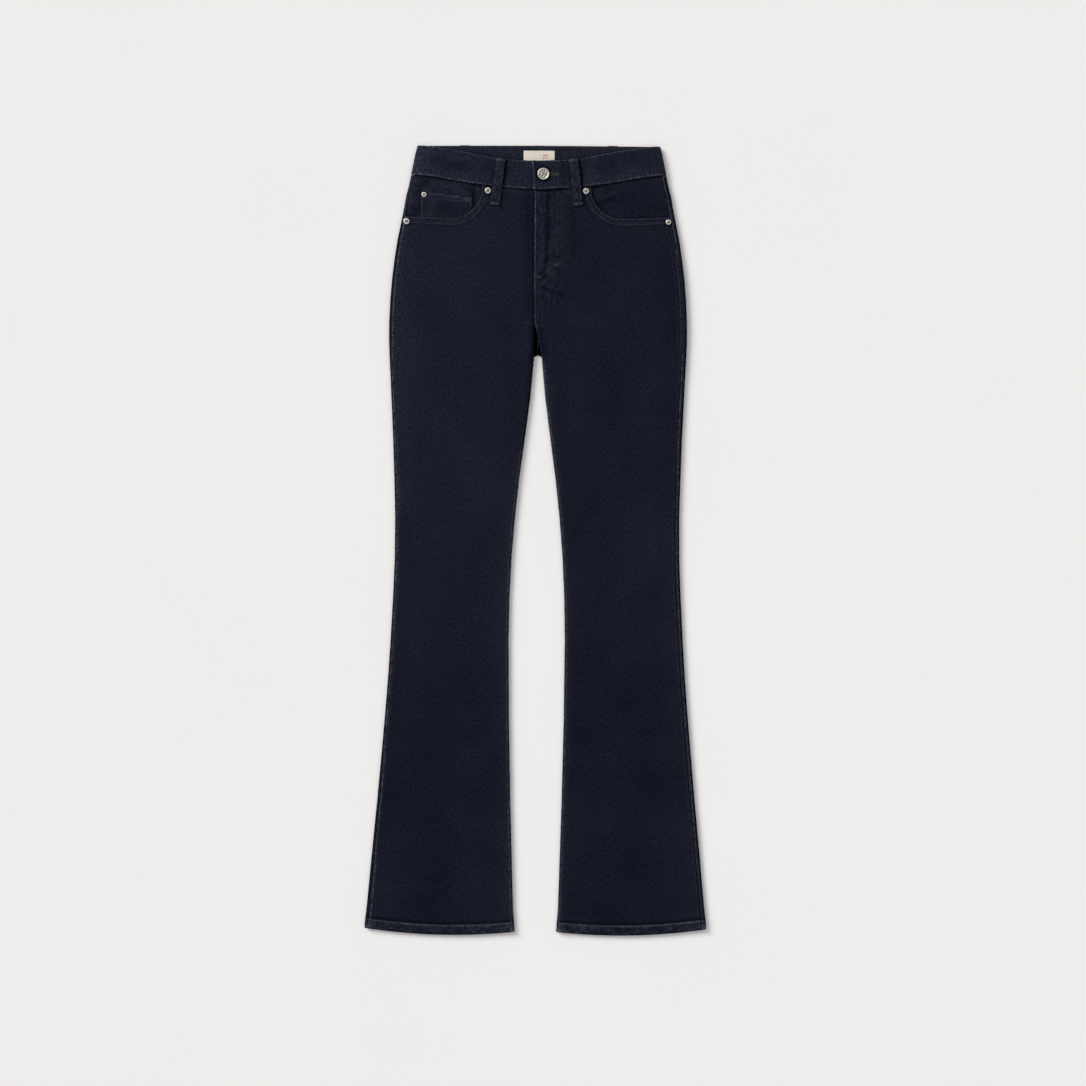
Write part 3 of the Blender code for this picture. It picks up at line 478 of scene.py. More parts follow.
# Relief and wear of the waistband, the pockets and the straps
BAND_PUCKERS_AT = 3
BAND_ROW_AT = 2.4
BAND_ROW_DIP = 0.30
BAND_ROW_DIP_WIDTH = 1.1
BAND_END_REACH = 20
BACK_BAND_SHARE = 0.4
BACK_BAND_RELIEF = 0.35
BAND_MOTTLE = 0.014
BAND_PALENESS = {"all": 0.013, "fold": 0.14, "right end": 0.10, "back": 0.016}
FACING_MOTTLE = {"right": 0.03, "left": 0.01}
RIGHT_FACING_PALENESS = 0.008
COIN_SHADE_GAP = 2
COIN_PUCKERS_AT = 5
COIN_ROW_RISE = 0.1
BACK_POCKET_WALL = CLOTH - 0.1
BACK_POCKET_LEVEL = CLOTH / 2 + 0.04
STRAP_PALENESS = 0.022

# Stitches on the loops and the band: places across a loop, shares down the band, and the buttonhole's ends
LOOP_ROWS = (-3.3, 3.3)
BAND_ROWS = (0.055, 0.935)
BUTTONHOLE_START = 12
BUTTONHOLE_BAR = (516.4, 520.4)

# A shell's border, and a distance that counts as far inside it
THINNEST_BORDER = 0.06
INSIDE_RELIEF = 0.5
FAR_INSIDE = 9

# Denim's two colours, unworn and worn, and the slant of its twill in degrees
DARK_INDIGO = (0.0028, 0.0040, 0.0096)
WORN_INDIGO = (0.122, 0.138, 0.200)
TWILL_SLANT = 58


def from_table(rows, column, at):
    """Straight-line reading of a table whose first column falls or rises evenly."""
    table = np.array(sorted(rows))
    return np.interp(at, table[:, 0], table[:, column])


def section(name, height):
    """One column of the section table at a height."""
    return np.interp(height, SECTION["height"][::-1], SECTION[name][::-1])


def smooth_step(value, low, high):
    """0 below low, 1 above high, and a smooth rise between them."""
    t = np.clip((value - low) / (high - low), 0.0, 1.0)
    return t * t * (3.0 - 2.0 * t)


def bell(distance, width):
    """1 at no distance, falling to a third at the width and then to nothing."""
    return np.exp(-((distance / width) ** 2))


def soft_noise(x, y, scale, seed):
    """Smooth random relief from -1 to 1: random numbers on a square lattice, joined by S-shaped rises."""
    lattice = np.random.default_rng(seed).random((97, 97)) * 2.0 - 1.0
    u = np.asarray(x, float) / scale + 970.0
    v = np.asarray(y, float) / scale + 970.0
    i = np.floor(u).astype(int)
    j = np.floor(v).astype(int)
    fu = smooth_step(u - i, 0.0, 1.0)
    fv = smooth_step(v - j, 0.0, 1.0)
    low = lattice[i % 97, j % 97] * (1.0 - fu) + lattice[(i + 1) % 97, j % 97] * fu
    high = lattice[i % 97, (j + 1) % 97] * (1.0 - fu) + lattice[(i + 1) % 97, (j + 1) % 97] * fu
    return low * (1.0 - fv) + high * fv


def hem_drop(share):
    """How far the hem hangs below its outer corner: a parabola through both corners and the lowest point."""
    low = HEM_LOWEST_AT
    at_inner = HEM_DROP_INNER * (share - low) * (share - 1.0) / low
    at_lowest = HEM_DROP_LOWEST * share * (share - 1.0) / (low * (low - 1.0))
    return at_inner + at_lowest


def hem_warp(height, across, inner, outer):
    """How far a row hangs lower at a place across it, because rows bend with the hem."""
    share = np.clip((across - inner) / (outer - inner), 0.0, 1.0)
    return hem_drop(share) * (1.0 - smooth_step(height, HEM_STITCH, HEM_WARP_TO))


def front_seam(across):
    """Top edge of a front: half a seam gap under the waistband."""
    return from_table(FRONT_WAIST_SEAM, 1, across) - HALF_GAP


def yoke_seam(across):
    """The yoke seam rises from the centre back to the sides."""
    return YOKE_CENTRE + (YOKE_SIDE - YOKE_CENTRE) * np.clip(across / YOKE_RISE_TO, 0.0, 1.0)


def back_band_top(across):
    """Top edge of the band at the back: highest in the middle, falling to the sides as a square does."""
    out = np.minimum(np.abs(across) / TOP_EDGE_REACH, 1.0)
    return BACK_BAND_TOP + (BAND_SIDE_TOP - BACK_BAND_TOP) * out ** 2


def back_band_bottom(across):
    """Lower edge of the band at the back, which falls to the sides in the same way."""
    out = np.minimum(np.abs(across) / WAIST_SEAM_REACH, 1.0)
    return BACK_BAND_BOTTOM + (WAIST_SIDE - BACK_BAND_BOTTOM) * out ** 2


def mouth_depth(side, across, height):
    """Distance inside the pocket mouth's edge: a quarter circle, then a line that rises a little outwards."""
    centre = MOUTH_INNER[side] + MOUTH_RADIUS
    level = MOUTH_LEVEL + MOUTH_RISE * np.maximum(across - centre, 0.0)
    inwards = np.maximum(centre - across, 0.0)
    below = np.maximum(level + MOUTH_RADIUS - height, 0.0)
    return MOUTH_RADIUS - np.hypot(inwards, below)


def crease_relief(table, x, y):
    """Sum of creases: each is a rounded bar, highest along its line, thinning to both ends."""
    relief = np.zeros(np.broadcast(x, y).shape)
    for x0, y0, x1, y1, half_width, size in table:
        length = math.hypot(x1 - x0, y1 - y0)
        ux, uy = (x1 - x0) / length, (y1 - y0) / length
        along = (x - x0) * ux + (y - y0) * uy
        t = np.clip(along, 0.0, length)
        wander = half_width * 0.35 * soft_noise(along, 0.0 * along, 22.0, int(abs(x0)) + 3)
        distance = np.hypot(x - x0 - t * ux, y - y0 - t * uy) + wander * bell(along - length / 2, length)
        relief += size * bell(distance, half_width)
    return relief


def puckers(along, away, seam):
    """Ripples that a seam draws in the cloth: an uneven wave along the seam that dies away from it."""
    pitch, reach, size, seed = PUCKERS[seam]
    phase = along / pitch + 0.7 * soft_noise(along, away * 0.4, pitch * 2.3, seed)
    strength = 0.55 + 0.45 * soft_noise(along, 0.0 * along, pitch * 3.1, seed + 1)
    return size * strength * np.sin(2.0 * math.pi * phase) * bell(away, reach)


def unevenness(place, x, y):
    """Soft unevenness of the cloth: the sum of the smooth random reliefs that the table gives for a place."""
    return sum(size * soft_noise(x, y, scale, seed) for size, scale, seed in UNEVENNESS[place])


def patchy(x, y, scale, seed):
    """Uneven strength of wear: smooth random relief moved and halved, so that it runs from 0 to 1."""
    return soft_noise(x, y, scale, seed) * 0.5 + 0.5


def beside(line, distance):
    """Wear of a soft line beside an edge: a bell round each distance that the table gives, added up."""
    return sum(wear_and_shade * bell(distance - at, width) for wear_and_shade, at, width in LINES[line])


def relief_wear_and_shade(piece, relief):
    """Painted light and wear on ridges, painted shade in hollows: the relief within its two limits, times its
    wear.
    """
    strength, low, high = RELIEF_WEAR_AND_SHADE[piece]
    return strength * np.clip(relief, low, high)


def inner_edge(side, height):
    """How far from the centre line a front's inner edge lies, read from its table."""
    return from_table(FRONT_INNER, {"right": 1, "left": 2}[side], height)


def in_leg(height):
    """1 down the leg, 0 above the crotch, and a smooth change between them."""
    return smooth_step(-height, -LEG_START[1], -LEG_START[0])


def front_relief(side, across, height):
    """Everything that stands proud of a front's plain form: creases, soft unevenness and seam puckers."""
    x = SIGN[side] * across
    from_seam = section("outer", height) - SIDE_SEAM_INSET[side] - across
    from_inner = across - inner_edge(side, height)
    over_hem = smooth_step(height, HEM_STITCH, HEM_STITCH + OVER_HEM_REACH)
    relief = crease_relief(CREASES, x, height)
    relief += unevenness("front", x, height)
    relief += unevenness("above hem", x, height) * over_hem
    relief += puckers(height, from_seam, "side")
    relief += puckers(height, from_inner, "inseam") * in_leg(height)
    relief -= SIDE_SEAM_DIP * bell(from_seam, SIDE_SEAM_DIP_WIDTH)
    from_mouth = -mouth_depth(side, across, height)
    near_mouth = across > MOUTH_INNER[side] - MOUTH_WEAR_REACH
    relief += puckers(across - height, from_mouth - MOUTH_PUCKERS_AT, "mouth") * near_mouth
    relief += puckers(x, front_seam(across) - height, "waist")
    relief += puckers(height, np.abs(x - FLY_EDGE_AT), "fly edge") * smooth_step(height, *FLY_PUCKERS_START)
    relief += puckers(height, np.abs(x - FLY_ROWS_AT), "fly rows") * smooth_step(height, *FLY_ROWS_START)
    relief += hem_ropes(x, height)
    return relief


def hem_ropes(x, height):
    """Slanting ridges of the hem fold, a groove along its stitches, and ripples just above them."""
    from_edge = height - HEM_EDGE
    from_row = height - HEM_STITCH
    strip = 1.0 - smooth_step(from_row, *HEM_STRIP_END)
    phase = (x + ROPE_SLANT * from_edge) / ROPE_PITCH + ROPE_WANDER * soft_noise(x, from_edge, 19.0, 21)
    ropes = ROPE_SIZE * np.sin(2.0 * math.pi * phase) * strip
    groove = -HEM_GROOVE * bell(from_row, HEM_GROOVE_WIDTH)
    return ropes + groove + puckers(x, from_row, "hem") * (1.0 - strip)


def pale_line(side, out, height):
    """A narrow broken pale line beside the outer fold, at the distance and strength that the tables give."""
    place = from_table(PALE_LINE[side], 1, height)
    fade = 1.0 - PALE_LINE_FADE * smooth_step(-height, *PALE_LINE_FADES)
    strength = PALE_LINE_WEAR[side] * fade
    return strength * bell(out - place, PALE_LINE_WIDTH) * (0.15 + patchy(height, 0.0 * height, 4.6, 41))


def pale_hip(side, height):
    """1 where the right hip's edge is worn pale above the pocket's corner, and 0 elsewhere."""
    return {"right": smooth_step(height, *PALE_HIP), "left": 0.0 * height}[side]


def hip_wear(side, out, height):
    """The pale wear in from the right hip's edge: a soft band, a little uneven."""
    return beside("hip edge", out) * (0.6 + 0.8 * patchy(out, height, 4.0, 46)) * pale_hip(side, height)


def pale_inner_leg(side, height):
    """1 where a leg's inner fold is worn pale: all the way on the left, and below the thigh on the right."""
    return {"right": 1.0 - smooth_step(height, *DARK_INNER_LEG), "left": 1.0}[side]


def seam_wear_and_shade(side, across, height):
    """Wear and painted shade along a leg's side seam: a painted dark line in the seam itself, and pale flecks
    on its ridge inside it.
    """
    out = section("outer", height) - across
    from_seam = out - SIDE_SEAM_INSET[side]
    wear_and_shade = beside("side seam flecks", from_seam) * patchy(height, out * 0.5, 3.2, 35)
    return wear_and_shade + beside("side seam shade", from_seam) + pale_line(side, out, height)


def corner_wear(side, across, height):
    """The hem's two corners are worn nearly white, in small uneven patches: a round bell at each corner."""
    from_edge = height - HEM_EDGE
    distances = {"inner": across - inner_edge(side, HEM_EDGE), "outer": section("outer", HEM_EDGE) - across}
    patches = 0.4 + 0.6 * patchy(across, from_edge, 3.5, 36)
    worn = 0.0
    for corner, (in_from_side, up, strength, width) in HEM_CORNERS.items():
        worn = worn + strength * bell(np.hypot(distances[corner] - in_from_side, from_edge - up), width)
    return patches * worn


def mouth_wear_and_shade(side, across, height, wave):
    """Wear and painted shade along a pocket mouth: pale flecks on its edge and its outer row, and painted shade
    beside both rows.
    """
    from_mouth = -mouth_depth(side, across, height)
    near_mouth = (across > MOUTH_INNER[side] - MOUTH_WEAR_REACH) * smooth_step(height, *MOUTH_WEAR_START)
    turning = smooth_step(from_mouth, 0.0, 1.0) * (1.0 - smooth_step(from_mouth, *MOUTH_TURNING_END))
    wear_and_shade = beside("mouth flecks", from_mouth) * (0.2 + wave) + MOUTH_TURNING_WEAR * turning * wave
    wear_and_shade = wear_and_shade + beside("mouth row flecks", from_mouth) * wave + beside("mouth shade", from_mouth)
    return wear_and_shade * near_mouth


def fly_wear_and_shade(x, height, from_edge, wave):
    """Wear and painted shade of the fly: a painted shadow along its edge, pale flecks inside it, and mottle on
    its flap, toe and outer row.
    """
    on_seam = smooth_step(height, *FLY_SEAM_START) * (0.6 + 0.4 * smooth_step(height, *FLY_SEAM_FULL))
    wear_and_shade = beside("fly flecks", from_edge) * on_seam * (0.2 + wave) + beside("fly shade", from_edge) * on_seam
    on_fly = (1.0 - smooth_step(x, *FLY_MOTTLE_END)) * smooth_step(height, *FLY_MOTTLE_START)
    wear_and_shade = wear_and_shade + FLY_MOTTLE["flap"] * soft_noise(x, height * 0.4, 2.4, 37) * on_fly
    toe = bell(x - FLY_TOE_AT, FLY_TOE_WIDTH) * on_seam * (1.0 - on_fly)
    wear_and_shade = wear_and_shade + FLY_MOTTLE["toe"] * soft_noise(x, height, 2.4, 38) * toe
    rows = bell(x - FLY_OUTER_ROW_AT, FLY_OUTER_ROW_WIDTH) * smooth_step(height, *FLY_ROWS_START)
    return wear_and_shade + FLY_MOTTLE["outer row"] * soft_noise(x * 0.5, height, 2.0, 39) * rows


def front_wear_and_shade(side, across, height):
    """How pale a front is worn and how dark it is painted with shade: the sum of its seams, folds, mouth, fly,
    hem, rivets and creases.
    """
    x = SIGN[side] * across
    from_inner = across - inner_edge(side, height)
    from_waist = front_seam(across) - height
    wave = patchy(x, height, 4.0, 31)
    wear_and_shade = seam_wear_and_shade(side, across, height) + corner_wear(side, across, height)
    worn_fold = beside("inner fold flecks", from_inner) * wave + beside("inner fold glow", from_inner)
    wear_and_shade = wear_and_shade + worn_fold * in_leg(height) * pale_inner_leg(side, height)
    wear_and_shade = wear_and_shade + beside("inner fold shade", from_inner) * in_leg(height)
    wear_and_shade = wear_and_shade + mouth_wear_and_shade(side, across, height, wave)
    wear_and_shade = wear_and_shade + beside("front waist flecks", from_waist) * wave + beside("front waist shade", from_waist)
    if side == "left":
        wear_and_shade = wear_and_shade + fly_wear_and_shade(x, height, from_inner, wave)
    wear_and_shade = wear_and_shade + crease_relief(SHADES, x, height) + hem_wear_and_shade(x, height)
    # A ring of painted shadow round each rivet
    for rivet_x, rivet_y, _, size in RIVETS.values():
        distance = np.hypot(x - rivet_x, height - rivet_y)
        wear_and_shade = wear_and_shade + beside("rivet shade", distance - RIVET_SHADE_RADIUS * size)
    return wear_and_shade + relief_wear_and_shade("front", front_relief(side, across, height))


def hem_wear_and_shade(x, height):
    """The hem is worn in patches, mostly along its stitches, with a line of painted shade above them and at its
    edge.
    """
    from_edge = height - HEM_EDGE
    from_row = height - HEM_STITCH
    strip = 1.0 - smooth_step(from_row, *HEM_PATCHES_END)
    patches = np.maximum(soft_noise(x, from_edge * 2.0, 5.0, 33), 0.0)
    broken = 0.3 + np.maximum(soft_noise(x, 0.0 * x, 3.2, 34), 0.0)
    wear_and_shade = strip * (HEM_STRIP_WEAR + HEM_PATCH_WEAR * patches) + beside("hem row flecks", from_row) * broken
    return wear_and_shade + beside("hem row shade", from_row) + beside("hem edge shade", from_edge)


def top_level(side, across, height, inner, inner_fold):
    """Middle of the upper wall: highest at the folded edges, lower between them, raised along the fly."""
    edge = section("edge", height)
    middle = section("middle", height)
    from_outer = section("outer", height) - across
    rise_outer = bell(np.maximum(from_outer - FOLD_RISE_FLAT, 0.0), FOLD_RISE_WIDTH)
    rise_inner = bell(np.maximum(across - inner - FOLD_RISE_FLAT, 0.0), FOLD_RISE_WIDTH)
    rise = np.maximum(rise_outer, rise_inner * inner_fold)
    depth = middle + (edge - middle) * rise
    x = SIGN[side] * across
    beside_fly = smooth_step(np.abs(x), FLY_HALF_WIDTH, FLY_BLEND_WIDTH)
    at_fly = smooth_step(height, FLY_END, FLY_FULL)
    depth = depth + (FLY_DEPTH - depth) * (1.0 - beside_fly) * at_fly
    if side == "left":
        depth = depth + FLY_RAISE * (1.0 - smooth_step(x, FLY_RAISE_TO - 1.0, FLY_SLOPE_TO + 2.0)) * at_fly
    return section("lift", height) + depth - section("wall", height) / 2


def inner_fold_of(side, height):
    """0 where the inner edge lies flat, 1 where it is a whole fold."""
    whole = smooth_step(-height, -CROTCH_HEIGHT - 6.0, -CROTCH_HEIGHT)
    return np.maximum(smooth_step(from_table(FRONT_INNER, 3, height), 0.0, FULL_CURL), whole)


def front_face(side, x, y, out=0.0):
    """Points on a front's outer face over the given places, moved out by a distance."""
    across = SIGN[side] * np.asarray(x, float)
    height = np.array(y, float)
    for _ in range(6):
        inner = inner_edge(side, height)
        height = y + hem_warp(height, across, inner, section("outer", height))
    level = top_level(side, across, height, inner, inner_fold_of(side, height))
    level = level + section("wall", height) / 2 + front_relief(side, across, height)
    return np.stack([x + 0.0 * level, y + 0.0 * level, level + out], axis=-1)


def tail(edge, length, radius, curl, wall, whole, shares):
    """A wall's inner end: flat first, then curling round the fold by an angle, as distances across and down."""
    angle = np.radians(curl)
    centre = edge + (radius + wall / 2) * np.maximum(np.sin(np.minimum(angle, math.pi / 2)), whole)
    flat = length - radius * angle
    along = length * shares[None, :]
    turned = np.maximum(along - flat[:, None], 0.0) / radius[:, None]
    across = centre[:, None] + np.maximum(flat[:, None] - along, 0.0) - radius[:, None] * np.sin(turned)
    return centre + flat, across, radius[:, None] * (1.0 - np.cos(turned))


# Meshes

def add_object(name, data):
    """An object with its data, in the scene."""
    obj = bpy.data.objects.new(name, data)
    bpy.context.scene.collection.objects.link(obj)
    return obj


def dress(name, mesh, material, slot):
    """A smooth piece of one material, made from its mesh, that rides on the jeans' one body."""
    mesh.validate()
    mesh.shade_smooth()
    mesh.materials.append(material)
    obj = add_object(name, mesh)
    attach(obj, "root")
    return obj


def facing_out(points, faces):
    """The faces, turned round where the volume that they enclose comes out below nothing."""
    a, b, c, d = (points[faces[:, k]] for k in range(4))
    volume = np.einsum("ij,ij->i", a, np.cross(b, c)).sum() + np.einsum("ij,ij->i", a, np.cross(c, d)).sum()
    return faces[:, ::-1] if volume < 0.0 else faces


def mesh_object(name, points, faces, material, slot):
    """A piece from arrays of points in millimetres and of faces, all with the same number of corners."""
    mesh = bpy.data.meshes.new(name)
    corners = faces.shape[1]
    mesh.vertices.add(len(points))
    mesh.vertices.foreach_set("co", (points * MM).astype(np.float32).ravel())
    mesh.loops.add(faces.size)
    mesh.loops.foreach_set("vertex_index", faces.astype(np.int32).ravel())
    mesh.polygons.add(len(faces))
    mesh.polygons.foreach_set("loop_start", np.arange(0, faces.size, corners, dtype=np.int32))
    mesh.update(calc_edges=True)
    return dress(name, mesh, material, slot)


def set_attribute(obj, name, kind, values):
    """A named value or vector for each point of an object's mesh."""
    attribute = obj.data.attributes.new(name, kind, "POINT")
    field = "vector" if kind == "FLOAT_VECTOR" else "value"
    attribute.data.foreach_set(field, np.asarray(values, np.float32).ravel())


def grid_normals(grid):
    """Unit normals of a grid of points, from the cross product of its two directions."""
    across = np.gradient(grid, axis=1)
    along = np.gradient(grid, axis=0)
    normal = np.cross(across, along)
    return normal / np.maximum(np.linalg.norm(normal, axis=2, keepdims=True), 1e-9)


def grid_lengths(grid, axis):
    """Distances along each line of a grid, from its start."""
    steps = np.linalg.norm(np.diff(grid, axis=axis), axis=2)
    start = np.zeros_like(np.take(steps, [0], axis=axis))
    return np.concatenate([start, np.cumsum(steps, axis=axis)], axis=axis)


def grid_faces(rows, columns, start=0):
    """Four corners of every cell of a grid whose points are numbered row by row."""
    index = start + np.arange(rows * columns).reshape(rows, columns)
    cells = [index[:-1, :-1], index[:-1, 1:], index[1:, 1:], index[1:, :-1]]
    return np.stack(cells, axis=-1).reshape(-1, 4)


def shell(name, middle, wall, material, slot, relief=0.0, edge=None, wear_and_shade=0.0, cloth=None, shade=0.0):
    """A closed piece of cloth: its middle surface moved half the wall out along its normals on both sides.

    Relief moves the outside by all of it and the inside by half. The wall thins towards the border as a half
    circle does, which rounds the cut or folded edges. Shade is taken off the wear of the outside alone."""
    rows, columns = middle.shape[:2]
    normal = grid_normals(middle)
    if normal[rows // 2, columns // 2, 2] < 0.0:
        normal = -normal
    if edge is None:
        down = grid_lengths(middle, 0)
        over = grid_lengths(middle, 1)
        edge = np.minimum(np.minimum(down, down[-1:] - down), np.minimum(over, over[:, -1:] - over))
    wall = np.broadcast_to(wall, (rows, columns))
    near = 1.0 - np.clip(edge / (wall / 2), 0.0, 1.0)
    half = wall / 2 * np.sqrt(np.maximum(1.0 - near ** 2, THINNEST_BORDER))
    outside = middle + normal * (half + relief)[..., None]
    inside = middle + normal * (relief * INSIDE_RELIEF - half)[..., None]
    count = rows * columns
    points = np.concatenate([outside.reshape(-1, 3), inside.reshape(-1, 3)])
    front = grid_faces(rows, columns)
    back = front[:, ::-1] + count
    index = np.arange(count).reshape(rows, columns)
    border = np.concatenate([index[0, :-1], index[:-1, -1], index[-1, :0:-1], index[:0:-1, 0]])
    following = np.roll(border, -1)
    rim = np.stack([border, border + count, following + count, following], axis=1)
    faces = np.concatenate([front, back, rim])
    obj = mesh_object(name, points, facing_out(points, faces), material, slot)
    wear_and_shade = np.broadcast_to(wear_and_shade, (rows, columns)).reshape(-1)
    shade = np.broadcast_to(shade, (rows, columns)).reshape(-1)
    set_attribute(obj, "wear_and_shade", "FLOAT", np.concatenate([wear_and_shade - shade, wear_and_shade]))
    if cloth is None:
        cloth = np.stack([grid_lengths(middle, 1), grid_lengths(middle, 0)], axis=-1)
    flat = np.concatenate([cloth.reshape(-1, 2), np.zeros((count, 1))], axis=1) * MM
    set_attribute(obj, "cloth", "FLOAT_VECTOR", np.tile(flat, (2, 1)))
    return obj


def edged(count, ends=(0.002, 0.006, 0.013)):
    """Shares from 0 to 1, evenly spaced, with a few more close to both ends."""
    inside = np.linspace(ends[-1] * 1.8, 1.0 - ends[-1] * 1.8, count)
    low = np.array((0.0,) + ends)
    return np.concatenate([low, inside, 1.0 - low[::-1]])


# Materials

def new_material(name, roughness, metallic=0.0, specular=0.5):
    """A plain material of one surface shader, and that shader."""
    material = bpy.data.materials.new(name)
    material.use_nodes = True
    shader = material.node_tree.nodes["Principled BSDF"]
    shader.inputs["Roughness"].default_value = roughness
    shader.inputs["Metallic"].default_value = metallic
    shader.inputs["Specular IOR Level"].default_value = specular
    return material, shader


def add_node(material, kind, inputs=(), **settings):
    """A shader node with its settings; an input is a value or another node's output."""
    node = material.node_tree.nodes.new(kind)
    for key, value in settings.items():
        setattr(node, key, value)
    for key, value in dict(inputs).items():
        if isinstance(value, bpy.types.NodeSocket):
            material.node_tree.links.new(value, node.inputs[key])
        else:
            node.inputs[key].default_value = value
    return node


def maths(material, operation, *values, clamp=False):
    """One sum in a material: the operation on its values, which are numbers or other nodes' outputs."""
    node = add_node(material, "ShaderNodeMath", enumerate(values), operation=operation, use_clamp=clamp)
    return node.outputs[0]


def mix_colours(material, share, first, second):
    """A colour between two: the first where the share is 0, and the second where it is 1."""
    node = add_node(material, "ShaderNodeMix", {0: share, 6: first, 7: second}, data_type="RGBA")
    return node.outputs[2]


def noise(material, source, scale, detail):
    """Plain noise on the given coordinates."""
    inputs = {"Vector": source, "Scale": scale, "Detail": detail}
    return add_node(material, "ShaderNodeTexNoise", inputs).outputs[0]


def object_place(material):
    """A point's place in its object."""
    return add_node(material, "ShaderNodeTexCoord").outputs["Object"]


def finish_surface(material, shader, colour, height, strength, distance):
    """Joins the colour to the surface, and lets the height raise its bumps."""
    bump = add_node(material, "ShaderNodeBump", {"Height": height, "Strength": strength, "Distance": distance})
    material.node_tree.links.new(colour, shader.inputs["Base Color"])
    material.node_tree.links.new(bump.outputs[0], shader.inputs["Normal"])
    return material


def stretched_noise(material, source, scale, stretch, detail=2.0):
    """Noise on the cloth's own coordinates, drawn out by the stretch."""
    placed = add_node(material, "ShaderNodeMapping", {"Vector": source, "Scale": stretch})
    inputs = {"Vector": placed.outputs[0], "Scale": scale, "Detail": detail, "Roughness": 0.6}
    return add_node(material, "ShaderNodeTexNoise", inputs).outputs[0]


def twill_denim(name, dark, worn, fade):
    """Denim: slanting twill lines, drawn-out slubs and specks, paler where the wear and shade attribute is
    high.

    Below nothing the attribute paints shade, and far below nothing the near-black shadow of a deep gap."""
    material, shader = new_material(name, 0.9, specular=0.04)
    cloth = add_node(material, "ShaderNodeAttribute", attribute_name="cloth").outputs["Vector"]
    wear_and_shade = add_node(material, "ShaderNodeAttribute", attribute_name="wear_and_shade").outputs["Fac"]
    slant = (0.0, 0.0, math.radians(TWILL_SLANT))
    turned = add_node(material, "ShaderNodeMapping", {"Vector": cloth, "Rotation": slant})
    twill = add_node(
        material, "ShaderNodeTexWave",
        {"Vector": turned.outputs[0], "Scale": 330.0, "Distortion": 1.2, "Detail": 1.0, "Detail Scale": 2.0},
    ).outputs[1]
    slubs = stretched_noise(material, cloth, 620.0, (1.0, 0.3, 1.0))
    specks = stretched_noise(material, cloth, 560.0, (0.8, 1.0, 1.0), 1.0)
    clouds = stretched_noise(material, cloth, 11.0, (1.0, 0.6, 1.0))
    grain = maths(material, "MULTIPLY_ADD", slubs, 0.8, maths(material, "SUBTRACT", specks, 0.90))
    shade = maths(material, "MULTIPLY_ADD", grain, 0.17, fade)
    shade = maths(material, "ADD", shade, maths(material, "MULTIPLY_ADD", clouds, 0.05, -0.025))
    shade = maths(material, "ADD", shade, maths(material, "MULTIPLY_ADD", twill, 0.03, -0.015))
    flecks = maths(material, "MAXIMUM", maths(material, "MULTIPLY_ADD", grain, 5.0, 1.0), 0.0)
    pale = maths(material, "MULTIPLY", maths(material, "MAXIMUM", wear_and_shade, 0.0), flecks)
    # Wear above nothing shows as pale flecks; below nothing it is painted shade that darkens the denim
    worn_or_painted_shade = maths(material, "ADD", pale, maths(material, "MINIMUM", wear_and_shade, 0.0))
    shade = maths(material, "ADD", shade, worn_or_painted_shade, clamp=True)
    colour = mix_colours(material, shade, (*dark, 1.0), (*worn, 1.0))
    # Painted shadow: far below nothing the colour turns near-black, as in a deep gap
    painted_gap_shadow = maths(material, "MULTIPLY_ADD", wear_and_shade, -4.0, -0.5, clamp=True)
    colour = mix_colours(material, painted_gap_shadow, colour, (0.0002, 0.0002, 0.0003, 1.0))
    height = maths(material, "MULTIPLY_ADD", twill, 0.5, grain)
    return finish_surface(material, shader, colour, height, 0.5, 0.0003)


def sewing_thread(name, colour, light):
    """Twisted thread: its colour runs a little paler and darker along the seams."""
    material, shader = new_material(name, 0.7, specular=0.2)
    place = object_place(material)
    uneven = noise(material, place, 260.0, 2.0)
    share = maths(material, "MULTIPLY_ADD", uneven, 1.6, -0.3, clamp=True)
    mixed = mix_colours(material, share, (*colour, 1.0), (*light, 1.0))
    return finish_surface(material, shader, mixed, noise(material, place, 2400.0, 1.0), 0.5, 0.0002)


def satin_nickel(name, bright, dull, roughness):
    """Nickel plate: uneven, with small dents, and dull in its recesses as the tarnish attribute says."""
    material, shader = new_material(name, roughness, metallic=1.0)
    place = object_place(material)
    tarnish = add_node(material, "ShaderNodeAttribute", attribute_name="tarnish").outputs["Fac"]
    patches = noise(material, place, 620.0, 3.0)
    uneven = maths(material, "MULTIPLY_ADD", patches, 2.4, -0.95)
    share = maths(material, "ADD", uneven, tarnish, clamp=True)
    mixed = mix_colours(material, share, (*bright, 1.0), (*dull, 1.0))
    rough = maths(material, "MULTIPLY_ADD", share, 0.2, roughness - 0.06)
    material.node_tree.links.new(rough, shader.inputs["Roughness"])
    return finish_surface(material, shader, mixed, patches, 0.5, 0.0004)


def woven_ribbon(name, colour, shade, scale):
    """Ribbon or tape: fine ribs across it, a little uneven."""
    material, shader = new_material(name, 0.55, specular=0.3)
    place = object_place(material)
    waves = {"Vector": place, "Scale": scale, "Distortion": 0.6}
    ribs = add_node(material, "ShaderNodeTexWave", waves).outputs[1]
    mottle = noise(material, place, 180.0, 3.0)
    share = maths(material, "MULTIPLY_ADD", mottle, 0.7, maths(material, "MULTIPLY", ribs, 0.25), clamp=True)
    mixed = mix_colours(material, share, (*colour, 1.0), (*shade, 1.0))
    return finish_surface(material, shader, mixed, ribs, 0.3, 0.0002)


